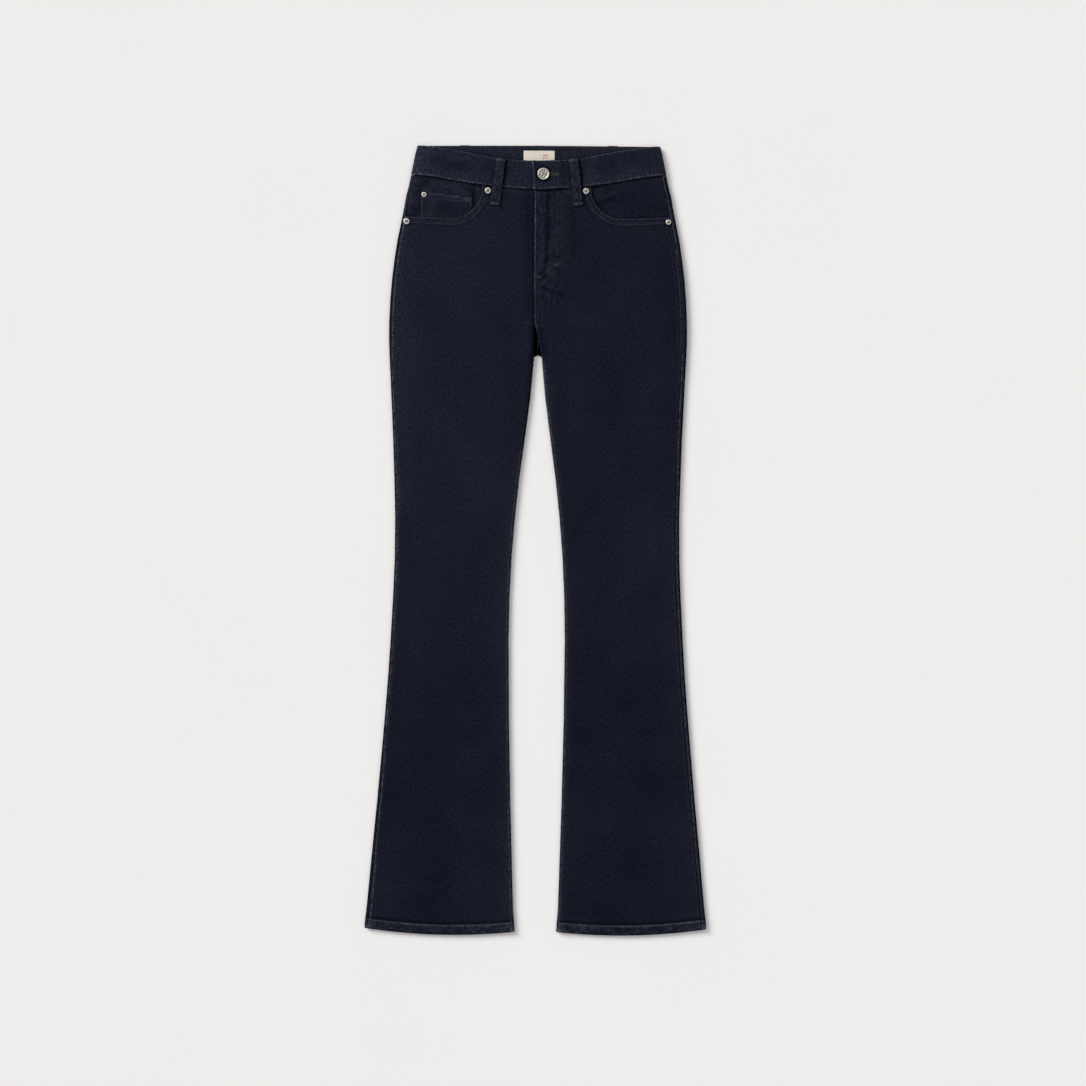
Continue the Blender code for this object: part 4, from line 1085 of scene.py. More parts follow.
DENIM = twill_denim("dark_denim", DARK_INDIGO, WORN_INDIGO, 0.049)
FACING_DENIM = twill_denim("facing_denim", DARK_INDIGO, WORN_INDIGO, 0.043)
TONAL_THREAD = sewing_thread("tonal_thread", (0.018, 0.021, 0.032), (0.072, 0.078, 0.102))
BROWN_THREAD = sewing_thread("brown_thread", (0.042, 0.034, 0.030), (0.105, 0.088, 0.076))
TAN_THREAD = sewing_thread("tan_thread", (0.052, 0.044, 0.041), (0.180, 0.155, 0.140))
NICKEL = satin_nickel("satin_nickel", (0.68, 0.65, 0.60), (0.20, 0.180, 0.165), 0.50)
TAPE = woven_ribbon("zip_tape_weave", (0.012, 0.013, 0.019), (0.020, 0.021, 0.029), 500.0)
SATIN = woven_ribbon("label_satin", (0.71, 0.65, 0.57), (0.57, 0.51, 0.44), 700.0)
RED_PRINT = sewing_thread("label_number_thread", (0.33, 0.05, 0.04), (0.42, 0.08, 0.06))


# Legs

def front_columns(side):
    """Places across a front at its mouth, from the side seam in: outside the mouth, its arc and the rest."""
    inner = MOUTH_INNER[side]
    start = inner_edge(side, MOUTH_LEVEL) + FRONT_TAIL
    seam = section("outer", MOUTH_LEVEL) - SIDE_SEAM_INSET[side] - HALF_GAP
    angles = np.linspace(0.0, math.pi / 2, 17)
    arc = inner + MOUTH_RADIUS * (1.0 - np.cos(angles))
    flat = np.linspace(start, inner - 0.15, 27)
    flat = np.sort(np.concatenate([flat, start + np.array((0.5, 1.0, 1.6))]))
    outside = seam - (seam - arc[-1]) * (1.0 - np.linspace(0.0, 1.0, 24)[1:]) ** 1.35
    return np.concatenate([flat, arc, outside])[::-1], start, seam


def build_front(side):
    """A front leg: rows down the leg, and above them rows that end on the waist seam or the mouth."""
    columns, start_at_mouth, seam_at_mouth = front_columns(side)
    shares = (columns - start_at_mouth) / (seam_at_mouth - start_at_mouth)
    inner_mouth = MOUTH_INNER[side]
    centre = inner_mouth + MOUTH_RADIUS
    inwards = np.clip(centre - columns, 0.0, MOUTH_RADIUS)
    mouth_top = MOUTH_LEVEL + MOUTH_RADIUS - np.sqrt(MOUTH_RADIUS ** 2 - inwards ** 2)
    mouth_top = mouth_top + MOUTH_RISE * np.maximum(columns - centre, 0.0)
    top = np.where(columns < inner_mouth - 0.1, front_seam(columns), mouth_top)
    top = np.concatenate([top, np.full(len(TAIL_SHARES), front_seam(0.0))])
    near_top = 1.0 - (1.0 - np.linspace(0.0, 1.0, 40)[1:]) ** 1.5
    leg_rows = np.arange(HEM_STITCH + OVER_HEM_REACH, MOUTH_BASE, FRONT_ROW_STEP)
    heights = np.concatenate([HEM_ROWS, leg_rows, [MOUTH_BASE]])
    lower = np.repeat(heights[:, None], len(top), axis=1)
    upper = MOUTH_BASE + (top[None, :] - MOUTH_BASE) * near_top[:, None]
    height = np.concatenate([lower, upper])
    row_height = height[:, 0]
    row_wall = section("wall", row_height)
    radius = (section("edge", row_height) - row_wall) / 2
    curl = from_table(FRONT_INNER, 3, row_height)
    whole = (row_height <= CROTCH_HEIGHT).astype(float)
    row_inner = inner_edge(side, row_height)
    start, tail_across, tail_drop = tail(row_inner, FRONT_TAIL, radius, curl, row_wall, whole, TAIL_SHARES)
    seam = section("outer", height[:, : len(columns)]) - SIDE_SEAM_INSET[side] - HALF_GAP
    above = height[:, : len(columns)] >= MOUTH_LEVEL
    along_leg = start[:, None] + (seam - start[:, None]) * shares[None, :]
    across = np.where(above & (columns[None, :] < centre), columns[None, :], along_leg)
    across = np.concatenate([across, tail_across], axis=1)
    drop = np.concatenate([np.zeros((len(height), len(columns))), tail_drop], axis=1)
    inner = inner_edge(side, height)
    outer = section("outer", height)
    y = height - hem_warp(height, across, inner, outer)
    level = top_level(side, across, height, inner, inner_fold_of(side, height)) - drop
    middle = np.stack([SIGN[side] * across, y, level], axis=-1)
    relief = front_relief(side, across, height) * (1.0 - smooth_step(drop, 0.0, 1.5))
    from_mouth = -mouth_depth(side, across, height)
    from_seam = section("outer", height) - SIDE_SEAM_INSET[side] - across
    tail_left = np.concatenate([np.full(len(columns), FAR_INSIDE), FRONT_TAIL * (1.0 - TAIL_SHARES)])
    edge = np.minimum.reduce([
        np.where(across > inner_mouth - 2.0, from_mouth, FAR_INSIDE), from_seam, front_seam(across) - height,
        np.broadcast_to(tail_left[None, :], height.shape), height - HEM_EDGE,
    ])
    edge = np.maximum(edge, 0.0)
    wear_and_shade = front_wear_and_shade(side, across, height)
    cloth = np.stack([middle[..., 0], y], axis=-1)
    wall = section("wall", height)
    obj = shell(f"{side}_front", middle, wall, DENIM, "denim", relief, edge, wear_and_shade, cloth)
    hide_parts(f"front_{side}")
    return obj


def wrapped(side, height, inset):
    """From the side seam over the outer fold to the underside: a short flat, then half a circle round the fold.

    It gives the places across, the levels, the centre of the fold and the level of the underside's wall."""
    outer = section("outer", height)
    wall = section("wall", height)
    low = section("lift", height) + wall / 2
    radius = (section("edge", height) - wall) / 2
    centre = outer - wall / 2 - radius
    seam_shares = np.array((0.0, 0.04, 0.12, 0.3, 0.6))[None, :]
    angles = np.linspace(0.0, math.pi, 13)[None, :]
    seam_across = (outer - inset)[:, None]
    flat = seam_across + (centre[:, None] - seam_across) * seam_shares
    flat_level = np.repeat(top_level(side, seam_across, height[:, None], 0.0, 0.0), flat.shape[1], axis=1)
    round_level = (low + radius)[:, None] + radius[:, None] * np.cos(angles)
    across = np.concatenate([flat, centre[:, None] + radius[:, None] * np.sin(angles)], axis=1)
    level = np.concatenate([flat_level, round_level], axis=1)
    return across, level, centre, low


def fold_wear_and_shade(side, across, height, level):
    """Along the outer fold: painted shade at the very edge, with a broken pale line a little way in from it."""
    out = section("outer", height) - across
    dark = beside("outer fold shade", out) * (1.0 - pale_hip(side, height))
    return (pale_line(side, out, height) + dark + hip_wear(side, out, height)) * smooth_step(level, 0.8, 3.0)


def build_back(side):
    """A back leg: from the side seam, round the outer fold, under the leg and up to the inseam."""
    near_crotch = CROTCH_HEIGHT + np.arange(-2.0, 3.0, 0.4)
    leg_rows = np.arange(HEM_STITCH + OVER_HEM_REACH, YOKE_SIDE - 2.0, BACK_ROW_STEP)
    rows = np.unique(np.round(np.concatenate([near_crotch, leg_rows]), 2))
    height = np.concatenate([HEM_ROWS, rows, BACK_TOP_ROWS])
    wall = section("wall", height)
    outer = section("outer", height)
    radius = (section("edge", height) - wall) / 2
    at_crotch = height >= CROTCH[-1][0]
    inner = np.where(at_crotch, from_table(CROTCH, 1, height), from_table(FRONT_INNER, 1, height))
    across, level, centre, low = wrapped(side, height, SIDE_SEAM_INSET[side] - HALF_GAP)
    whole = smooth_step(-height, -BACK_CURL_START, -BACK_CURL_FULL)
    gap = INSEAM_GAP_SHARE * wall
    curl = (180.0 - from_table(FRONT_INNER, 3, height) - np.degrees(gap / radius)) * whole
    start, tail_across, tail_rise = tail(inner, BACK_TAIL, radius, curl, wall, whole, TAIL_SHARES)
    flat_shares = np.linspace(0.0, 1.0, 22)[None, 1:]
    flat = centre[:, None] + (start - centre)[:, None] * flat_shares
    across = np.concatenate([across, flat, tail_across], axis=1)
    flat_level = np.repeat(low[:, None], flat.shape[1], axis=1)
    level = np.concatenate([level, flat_level, low[:, None] + tail_rise], axis=1)
    height = np.repeat(height[:, None], across.shape[1], axis=1)
    to_yoke = yoke_seam(np.abs(across)) - HALF_GAP - YOKE_SIDE
    at_top = to_yoke * smooth_step(height, BACK_WARP_FROM, YOKE_SIDE)
    y = height + at_top - hem_warp(height, across, inner[:, None], outer[:, None])
    x = SIGN[side] * across
    middle = np.stack([x, y, level], axis=-1)
    upper = smooth_step(level, 1.0, 3.0)
    relief = -0.25 * (1.0 - upper) * patchy(x, y, 40.0, 43)
    from_seam = section("outer", height) - SIDE_SEAM_INSET[side] - across
    relief = relief + puckers(height, from_seam, "side") * upper
    relief = relief + 0.18 * soft_noise(height, level, 9.0, 44) * upper
    relief = relief + (hem_ropes(x, height) - 0.3) * upper * smooth_step(-height, 500.0, 530.0)
    wear_and_shade = fold_wear_and_shade(side, across, height, level) + hem_wear_and_shade(x, height) + corner_wear(side, across, height)
    # The back's inner fold: worn pale where the leg is pale, and painted shade on the right thigh instead
    inner_side = bell(across - inner[:, None], 2.4) * upper
    pale = pale_inner_leg(side, height)
    fold = 0.26 * pale * (0.15 + patchy(height, level, 4.0, 45)) - 0.14 * (1.0 - pale)
    wear_and_shade = wear_and_shade + fold * inner_side * whole[:, None]
    # Painted near-black shadow in the deep gap under the fly's toe
    painted_pit_shadow = (1.0 - smooth_step(height, *PIT_TOP)) * smooth_step(height, *PIT_BOTTOM)
    shade = PIT_SHADE * painted_pit_shadow * (1.0 - smooth_step(across, *PIT_REACH)) * (from_seam > PIT_FROM_SEAM)
    cloth = np.stack([SIGN[side] * (across[:, :1] + grid_lengths(middle, 1)), y], axis=-1)
    back_wall = section("wall", height)
    obj = shell(f"{side}_back", middle, back_wall, DENIM, "denim", relief, None, wear_and_shade, cloth, shade)
    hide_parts(f"back_{side}")
    return obj


def build_yoke(side):
    """A yoke: the same section as the back, from the yoke seam to the waist seam."""
    shares = edged(14, (0.004, 0.012, 0.03))
    height = YOKE_SIDE + (WAIST_SIDE - YOKE_SIDE) * shares
    across, level, centre, low = wrapped(side, height, SIDE_SEAM_INSET[side] - HALF_GAP)
    flat = centre[:, None] + (HALF_GAP - centre)[:, None] * np.linspace(0.0, 1.0, 26)[None, 1:]
    across = np.concatenate([across, flat], axis=1)
    level = np.concatenate([level, np.repeat(low[:, None], flat.shape[1], axis=1)], axis=1)
    gap = np.where(level > YOKE_WRAP_LEVEL, YOKE_WRAP_GAP, HALF_GAP)
    bottom = yoke_seam(across) + HALF_GAP
    top = back_band_bottom(across) - gap
    y = bottom + (top - bottom) * shares[:, None]
    middle = np.stack([SIGN[side] * across, y, level], axis=-1)
    heights = np.repeat(height[:, None], across.shape[1], axis=1)
    wear_and_shade = fold_wear_and_shade(side, across, heights, level)
    obj = shell(f"{side}_yoke", middle, CLOTH, DENIM, "denim", 0.0, None, wear_and_shade)
    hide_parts(f"yoke_{side}")
    return obj


# Waistband

def band_columns():
    """The columns along the band, from the button end round the back to the buttonhole end.

    Each has its share of the half width, its kind (0 in front, 1 on a side fold, 2 at the back), its angle
    round the fold, and how far it has risen on to the end that it laps over."""
    fold = np.linspace(0.0, math.pi, BAND_FOLD_POINTS + 2)[1:-1]
    right = UNDERLAP_END + (-1.0 - UNDERLAP_END) * edged(150)[:-4]
    right = np.append(right, -1.0)
    back = np.linspace(-1.0, 1.0, 170)
    left = np.linspace(1.0, OVERLAP_SLOPE_TO, 90)
    lap = OVERLAP_FLAT_TO + (OVERLAP_END_TOP - OVERLAP_FLAT_TO) * edged(34, (0.01, 0.02, 0.04))[4:]
    slope = np.linspace(OVERLAP_SLOPE_TO, OVERLAP_FLAT_TO, 12)[1:]
    round_fold = np.ones(BAND_FOLD_POINTS)
    front_left = np.zeros(len(left) + len(slope) + len(lap))
    share = np.concatenate([right, -round_fold, back, round_fold, left, slope, lap])
    kind = np.concatenate([np.zeros(len(right)), round_fold, np.full(len(back), 2), round_fold, front_left])
    behind = np.full(len(back), math.pi)
    angle = np.concatenate([np.zeros(len(right)), fold, behind, fold[::-1], front_left])
    lapped = np.concatenate([np.zeros(len(share) - len(slope) - len(lap)), np.ones(len(slope) + len(lap))])
    rise = lapped * (1.0 - smooth_step(share, OVERLAP_FLAT_TO, OVERLAP_SLOPE_TO))
    return share, kind, angle, rise


def band_middle(down):
    """Middle surface of the band at shares of its height from the top edge, and the kind of each column."""
    share, kind, angle, rise = band_columns()
    down = np.asarray(down, float)[:, None]
    radius = (BAND_FRONT_LEVEL - BAND_BACK_LEVEL) / 2
    end = share <= OVERLAP_END_TOP + OVERLAP_SLANT_REACH
    towards_end = smooth_step(-share, -OVERLAP_FLAT_TO, -OVERLAP_END_TOP)
    slant = (OVERLAP_END_BOTTOM - OVERLAP_END_TOP) * down * towards_end
    share = share[None, :] + np.where((rise > 0.5) | (end & (rise > 0.0)), slant, 0.0)
    reach = np.abs(share) * (section("outer", BAND_REACH_AT) - BAND_WALL / 2 - radius)
    top = np.where(kind == 2, back_band_top(reach), from_table(FRONT_TOP_EDGE, 1, reach))
    bottom = np.where(kind == 2, back_band_bottom(reach), from_table(FRONT_WAIST_SEAM, 1, reach))
    top = np.where(kind == 1, BAND_SIDE_TOP, top)
    bottom = np.where(kind == 1, WAIST_SIDE, bottom)
    y = top + (bottom + HALF_GAP - top) * down
    centre = section("outer", y) - BAND_WALL / 2 - radius
    x = share * centre + np.where(kind == 1, np.sign(share) * radius * np.sin(angle), 0.0)
    z = BAND_BACK_LEVEL + radius * (1.0 + np.cos(angle)) + (BAND_OVERLAP_LEVEL - BAND_FRONT_LEVEL) * rise
    return np.stack([x, y, np.broadcast_to(z, x.shape)], axis=-1), kind


def band_relief(x, y, down):
    """Unevenness of the band: puckers along both stitch rows, a roll at the top fold and soft waves."""
    from_top = down * BAND_TALL
    from_bottom = (1.0 - down) * BAND_TALL
    relief = puckers(x, from_top - BAND_PUCKERS_AT, "band top")
    relief += puckers(x, from_bottom - BAND_PUCKERS_AT, "band bottom")
    relief += unevenness("band", x, y)
    for distance in (from_top, from_bottom):
        relief -= BAND_ROW_DIP * bell(distance - BAND_ROW_AT, BAND_ROW_DIP_WIDTH)
    return relief


def band_wear_and_shade(x, y, down, kind, relief):
    """Wear and painted shade of the band: pale folds and edges, and painted shade where pieces meet, round the
    button and beside the front loops.
    """
    wave = patchy(x, y, 3.2, 55)
    from_top = down * BAND_TALL
    from_bottom = (1.0 - down) * BAND_TALL
    front = (kind == 0).astype(float)
    at_right_end = bell(section("outer", y) - np.abs(x), BAND_END_REACH) * (x < 0.0)
    wear_and_shade = beside("band top flecks", from_top) * (0.1 + wave) * np.where(kind == 2, BACK_BAND_SHARE, 1.0)
    wear_and_shade = wear_and_shade + beside("band bottom flecks", from_bottom) * (0.15 + wave) * (1.0 + at_right_end) * front
    wear_and_shade = wear_and_shade + beside("band bottom glow", from_bottom) * wave * front
    wear_and_shade = wear_and_shade + beside("band bottom shade", from_bottom) + BAND_PALENESS["all"]
    wear_and_shade = wear_and_shade + relief_wear_and_shade("band", relief) + BAND_MOTTLE * soft_noise(x, y * 2.0, 15.0, 56)
    wear_and_shade = wear_and_shade + crease_relief(BAND_SHADES, x, y) * front + BAND_PALENESS["fold"] * (kind == 1) * wave
    wear_and_shade = wear_and_shade + BAND_PALENESS["right end"] * at_right_end * (0.7 + 0.6 * wave) * (kind != 2)
    # A ring of painted shadow round the button
    from_button = np.hypot(x - BUTTON_AT[0], y - BUTTON_AT[1]) - BUTTON_SHADE_RADIUS
    wear_and_shade = wear_and_shade + beside("button shade", from_button) * front
    # Painted shadow beside each front loop
    for (x0, y0), (x1, y1) in FRONT_LOOPS.values():
        from_loop = x - (x0 + (x1 - x0) * (y - y0) / (y1 - y0))
        wear_and_shade = wear_and_shade + beside("painted shadow beside loop", from_loop) * front
    return wear_and_shade


def build_waistband():
    """The waistband: rows down its height, each along the whole band, paler at the end that laps over, which is
    worn and has a painted highlight.
    """
    down = edged(24, (0.004, 0.012, 0.025))
    middle, kind = band_middle(down)
    x, y = middle[..., 0], middle[..., 1]
    down_grid = np.repeat(down[:, None], x.shape[1], axis=1)
    kind = np.broadcast_to(kind, x.shape)
    relief = band_relief(x, y, down_grid) * np.where(kind == 0, 1.0, BACK_BAND_RELIEF)
    wear_and_shade = band_wear_and_shade(x, y, down_grid, kind, relief) + BAND_PALENESS["back"] * (kind == 2)
    from_start = grid_lengths(middle, 1)
    from_end = from_start[:, -1:] - from_start
    near_ends = 0.5 + 0.7 * (bell(down_grid - 0.12, 0.14) + bell(down_grid - 0.9, 0.16))
    # Worn flecks and a painted highlight along the lapped end's edge
    flecks = beside("band end flecks and painted highlight", from_end) * (0.2 + patchy(y, 0.0 * y, 6.0, 57)) * near_ends
    wear_and_shade = wear_and_shade + flecks + beside("band end shade", from_end)
    # Painted shadow of the front's top edge on the inside of the back band
    behind = y - from_table(FRONT_TOP_EDGE, 1, np.abs(x))
    shade = beside("painted shadow behind front edge", behind) * (kind == 2)
    obj = shell("waistband_cloth", middle, BAND_WALL, DENIM, "denim", relief, None, wear_and_shade, None, shade)
    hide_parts("waistband")
    return obj


# Pockets, loops and the fly

def facing_level(side, across, height):
    """Middle of the facing: low where it passes under the mouth's edge, and higher inside the mouth."""
    inside = smooth_step(mouth_depth(side, across, height), *FACING_SLOPE)
    return FACING_LOW + (FACING_HIGH - FACING_LOW) * inside


def facing_wear_and_shade(side, across, y, relief):
    """The facing is darker close under the mouth's edge and beside the coin pocket, as painted shade."""
    x = SIGN[side] * across
    wear_and_shade = relief_wear_and_shade("facing", relief) + beside("facing mouth shade", mouth_depth(side, across, y))
    wear_and_shade = wear_and_shade + beside("facing waist shade", front_seam(across) - y) + crease_relief(FACING_SHADES, x, y)
    wear_and_shade = wear_and_shade + FACING_MOTTLE[side] * soft_noise(x, y, 6.0, 65)
    wear_and_shade = wear_and_shade + hip_wear(side, section("outer", y) - across, y)
    if side == "right":
        # Painted shadow beside the coin pocket's inner edge, then a pale band
        from_coin = COIN_POCKET[1][0] - COIN_SHADE_GAP - across
        wear_and_shade = wear_and_shade + beside("painted shadow and pale band beside coin pocket", from_coin) + RIGHT_FACING_PALENESS
    return wear_and_shade


def build_facing(side):
    """A pocket facing: rows from its hidden lower edge to just under the waist seam, from the side seam in."""
    shares = edged(46, (0.002, 0.006, 0.012))
    in_from_side = edged(60, (0.001, 0.003, 0.006))
    height = FACING_BOTTOM + (WAIST_SIDE - FACING_BOTTOM) * shares
    outer = section("outer", height) - SIDE_SEAM_INSET[side] - 2.0 * HALF_GAP
    across = outer[:, None] + (FACING_INNER - outer)[:, None] * in_from_side[None, :]
    y = FACING_BOTTOM + (front_seam(across) - FACING_TOP_GAP - FACING_BOTTOM) * shares[:, None]
    x = SIGN[side] * across
    middle = np.stack([x, y, facing_level(side, across, y)], axis=-1)
    relief = unevenness("facing", x, y) + puckers(x, front_seam(across) - y, "facing")
    if side == "left":
        relief += crease_relief(FACING_CREASES, x, y)
    wear_and_shade = facing_wear_and_shade(side, across, y, relief)
    cloth = np.stack([x, y], axis=-1)
    obj = shell(f"{side}_facing", middle, LINING_WALL, FACING_DENIM, "facing_denim", relief, None, wear_and_shade, cloth)
    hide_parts(f"pocket_facing_{side}")
    return obj


def coin_points(down, in_from_side):
    """Places on the coin pocket at shares down from its top edge and in from its outer edge."""
    outer_top, inner_top, inner_bottom, outer_bottom = np.array(COIN_POCKET)
    top = outer_top + (inner_top - outer_top) * in_from_side[..., None]
    bottom = outer_bottom + (inner_bottom - outer_bottom) * in_from_side[..., None]
    return top + (bottom - top) * down[..., None]


def build_coin_pocket():
    """The coin pocket: a patch on the right facing, worn pale along its top and both sides."""
    down = edged(30, (0.003, 0.009, 0.018))[:, None]
    over = edged(44, (0.002, 0.006, 0.012))[None, :]
    down, over = np.broadcast_arrays(down, over)
    places = coin_points(down, over)
    across, y = places[..., 0], places[..., 1]
    middle = np.stack([-across, y, facing_level("right", across, y) + COIN_OFFSET], axis=-1)
    from_top = down * COIN_TALL
    relief = 0.12 * soft_noise(across, y, 12.0, 71) + puckers(across, from_top - COIN_PUCKERS_AT, "coin pocket")
    edges = beside("coin top flecks", from_top) + beside("coin inner flecks", (1.0 - over) * COIN_WIDE)
    edges = edges + beside("coin outer flecks", over * COIN_WIDE)
    wear_and_shade = edges * (0.1 + patchy(across, y, 3.4, 73)) + beside("coin top shade", from_top)
    wear_and_shade = wear_and_shade + crease_relief(COIN_SHADES, -across, y) + relief_wear_and_shade("coin", relief)
    cloth = np.stack([-across, y], axis=-1)
    obj = shell("coin_pocket_cloth", middle, LINING_WALL, DENIM, "denim", relief, None, wear_and_shade, cloth)
    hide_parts("coin_pocket")
    return obj


def back_pocket_point(side, over, down):
    """A place on a back pocket: between its straight top edge and its pointed bottom edge."""
    top = np.array(BACK_POCKET_TOP)
    bottom = np.array(BACK_POCKET_BOTTOM)
    top_across = top[0, 0] + (top[1, 0] - top[0, 0]) * over
    top_height = top[0, 1] + (top[1, 1] - top[0, 1]) * over
    bottom_across = bottom[0, 0] + (bottom[-1, 0] - bottom[0, 0]) * over
    bottom_height = np.interp(bottom_across, bottom[:, 0], bottom[:, 1])
    across = top_across + (bottom_across - top_across) * down
    height = top_height + (bottom_height - top_height) * down
    return SIGN[side] * across, height


def build_back_pocket(side):
    """A back pocket: a flat patch on the underside, worn pale along its top and its sides."""
    over = edged(40, (0.002, 0.005, 0.01))[None, :]
    down = edged(40, (0.002, 0.005, 0.01))[:, None]
    over, down = np.broadcast_arrays(over, down)
    x, y = back_pocket_point(side, over, down)
    level = np.full(x.shape, BACK_POCKET_LEVEL)
    from_side = np.minimum(over, 1.0 - over) * BACK_POCKET_WIDE
    worn_edge = np.maximum(bell(down * BACK_POCKET_TALL, 2.0), bell(from_side, 2.0))
    wear_and_shade = 0.04 + 0.2 * worn_edge
    middle = np.stack([x, y, level], axis=-1)
    relief = -0.03 * (1.0 + soft_noise(x, y, 14.0, 81))
    cloth = np.stack([x, y], axis=-1)
    obj = shell(f"{side}_back_pocket", middle, BACK_POCKET_WALL, DENIM, "denim", relief, None, wear_and_shade, cloth)
    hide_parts(f"back_pocket_{side}")
    return obj


def strip(name, form, rows, columns, bulge, material, slot, relief_seed):
    """A strap from one end to the other: its levels are read along it, and its middle is a little raised."""
    start, end = np.array(form["ends"], float)
    width = form["width"]
    length = np.hypot(*(end - start))
    along = (end - start) / length
    across = np.array((-along[1], along[0]))
    s = edged(rows, (0.002, 0.006, 0.014))[:, None] * length
    w = (edged(columns, (0.01, 0.03, 0.07))[None, :] - 0.5) * width
    s, w = np.broadcast_arrays(s, w)
    place = start + s[..., None] * along + w[..., None] * across
    middle = np.concatenate([place, from_table(form["levels"], 1, s)[..., None]], axis=-1)
    relief = bulge * (1.0 - (2.0 * w / width) ** 2) + 0.12 * soft_noise(s, w, 5.0, relief_seed)
    from_side = width / 2 - np.abs(w)
    from_end = np.minimum(s, length - s)
    wear_and_shade = beside("loop edge flecks", from_side) + beside("loop end flecks", from_end)
    wear_and_shade = wear_and_shade * (0.2 + 0.9 * patchy(s, w, 3.0, relief_seed + 1))
    wear_and_shade = wear_and_shade + 0.08 * soft_noise(s, w, 2.4, relief_seed + 2) + STRAP_PALENESS
    wear_and_shade = wear_and_shade + beside("loop edge shade", from_side) + beside("loop end shade", from_end)
    return shell(name, middle, form["wall"], material, slot, relief, None, wear_and_shade, np.stack([w, s], axis=-1))


def build_loops():
    """The belt loops: two in front over the waistband, and three flat on the surface behind it."""
    loops = []
    for side, ends in FRONT_LOOPS.items():
        form = {"ends": ends, "width": LOOP_WIDTH, "levels": LOOP_LEVELS, "wall": LOOP_WALL}
        loop = strip(f"front_loop_{side}", form, 46, 12, 0.25, DENIM, "denim", 91)
        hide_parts(f"belt_loop_front_{side}")
        loops.append(loop)
    for place, x in BACK_LOOPS.items():
        ends = ((x, BACK_LOOP_ENDS[0]), (x, BACK_LOOP_ENDS[1]))
        form = {"ends": ends, "width": LOOP_WIDTH, "levels": BACK_LOOP_LEVELS, "wall": BACK_LOOP_WALL}
        loop = strip(f"back_loop_{place}", form, 40, 10, 0.0, DENIM, "denim", 93)
        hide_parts(f"belt_loop_back_{place}")
        loops.append(loop)
    return loops


def build_label():
    """The size label: a satin ribbon with a plain number on it, made from a text as a mesh of its own."""
    label = strip("size_label_ribbon", LABEL, 24, 24, 0.2, SATIN, "label_satin", 95)
    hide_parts("size_label")
    number = bpy.data.curves.new("size_number", "FONT")
    number.body = LABEL_NUMBER
    number.size = LABEL_NUMBER_TALL * MM
    number.align_x = "CENTER"
    number.extrude = LABEL_NUMBER_THICK * MM
    holder = add_object("size_number_curve", number)
    bpy.context.view_layer.update()
    mesh = bpy.data.meshes.new_from_object(holder.evaluated_get(bpy.context.evaluated_depsgraph_get()))
    bpy.data.objects.remove(holder, do_unlink=True)
    points = np.empty(len(mesh.vertices) * 3, np.float32)
    mesh.vertices.foreach_get("co", points)
    points = points.reshape(-1, 3) + np.array(LABEL_NUMBER_AT, np.float32) * np.float32(MM)
    mesh.vertices.foreach_set("co", points.ravel())
    mesh.materials.clear()
    mesh.materials.append(RED_PRINT)
    digits = add_object("size_number", mesh)
    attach(digits, "root")
    return label


def build_fly():
    """The hidden fly: its shield, the two zip tapes, a row of teeth and the slider at the top."""
    shield = strip("fly_shield_cloth", SHIELD, 40, 14, 0.0, DENIM, "denim", 97)
    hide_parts("fly_shield")
    tapes = strip("zip_tapes", TAPES, 30, 10, 0.0, TAPE, "zip_tape", 98)
    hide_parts("fly_zip")
    place = np.arange(ZIP_TEETH)
    x = TAPES["ends"][0][0] + np.where(place % 2 == 0, -ZIP_STAGGER, ZIP_STAGGER)
    centre = np.stack([x, ZIP_TOP - ZIP_PITCH * place, np.full(ZIP_TEETH, ZIP_LEVEL)], axis=1)
    boxes("zip_teeth", centre, np.array(ZIP_TOOTH), NICKEL, "nickel")
    boxes("zip_slider", np.array(ZIP_SLIDER_CENTRES), np.array(ZIP_SLIDER_SIZES), NICKEL, "nickel")
    return shield, tapes


def boxes(name, centres, sizes, material, slot):
    """Small blocks, one round each centre: the eight corners of a cube times each size."""
    corners = np.array([(x, y, z) for z in (-0.5, 0.5) for y in (-0.5, 0.5) for x in (-0.5, 0.5)])
    sizes = np.broadcast_to(sizes, centres.shape)
    points = centres[:, None, :] + corners[None] * sizes[:, None, :]
    quads = np.array(((0, 2, 3, 1), (4, 5, 7, 6), (0, 1, 5, 4), (2, 6, 7, 3), (0, 4, 6, 2), (1, 3, 7, 5)))
    faces = (quads[None] + 8 * np.arange(len(centres))[:, None, None]).reshape(-1, 4)
    obj = mesh_object(name, points.reshape(-1, 3), faces, material, slot)
    obj.data.shade_flat()
    return obj


# Metal

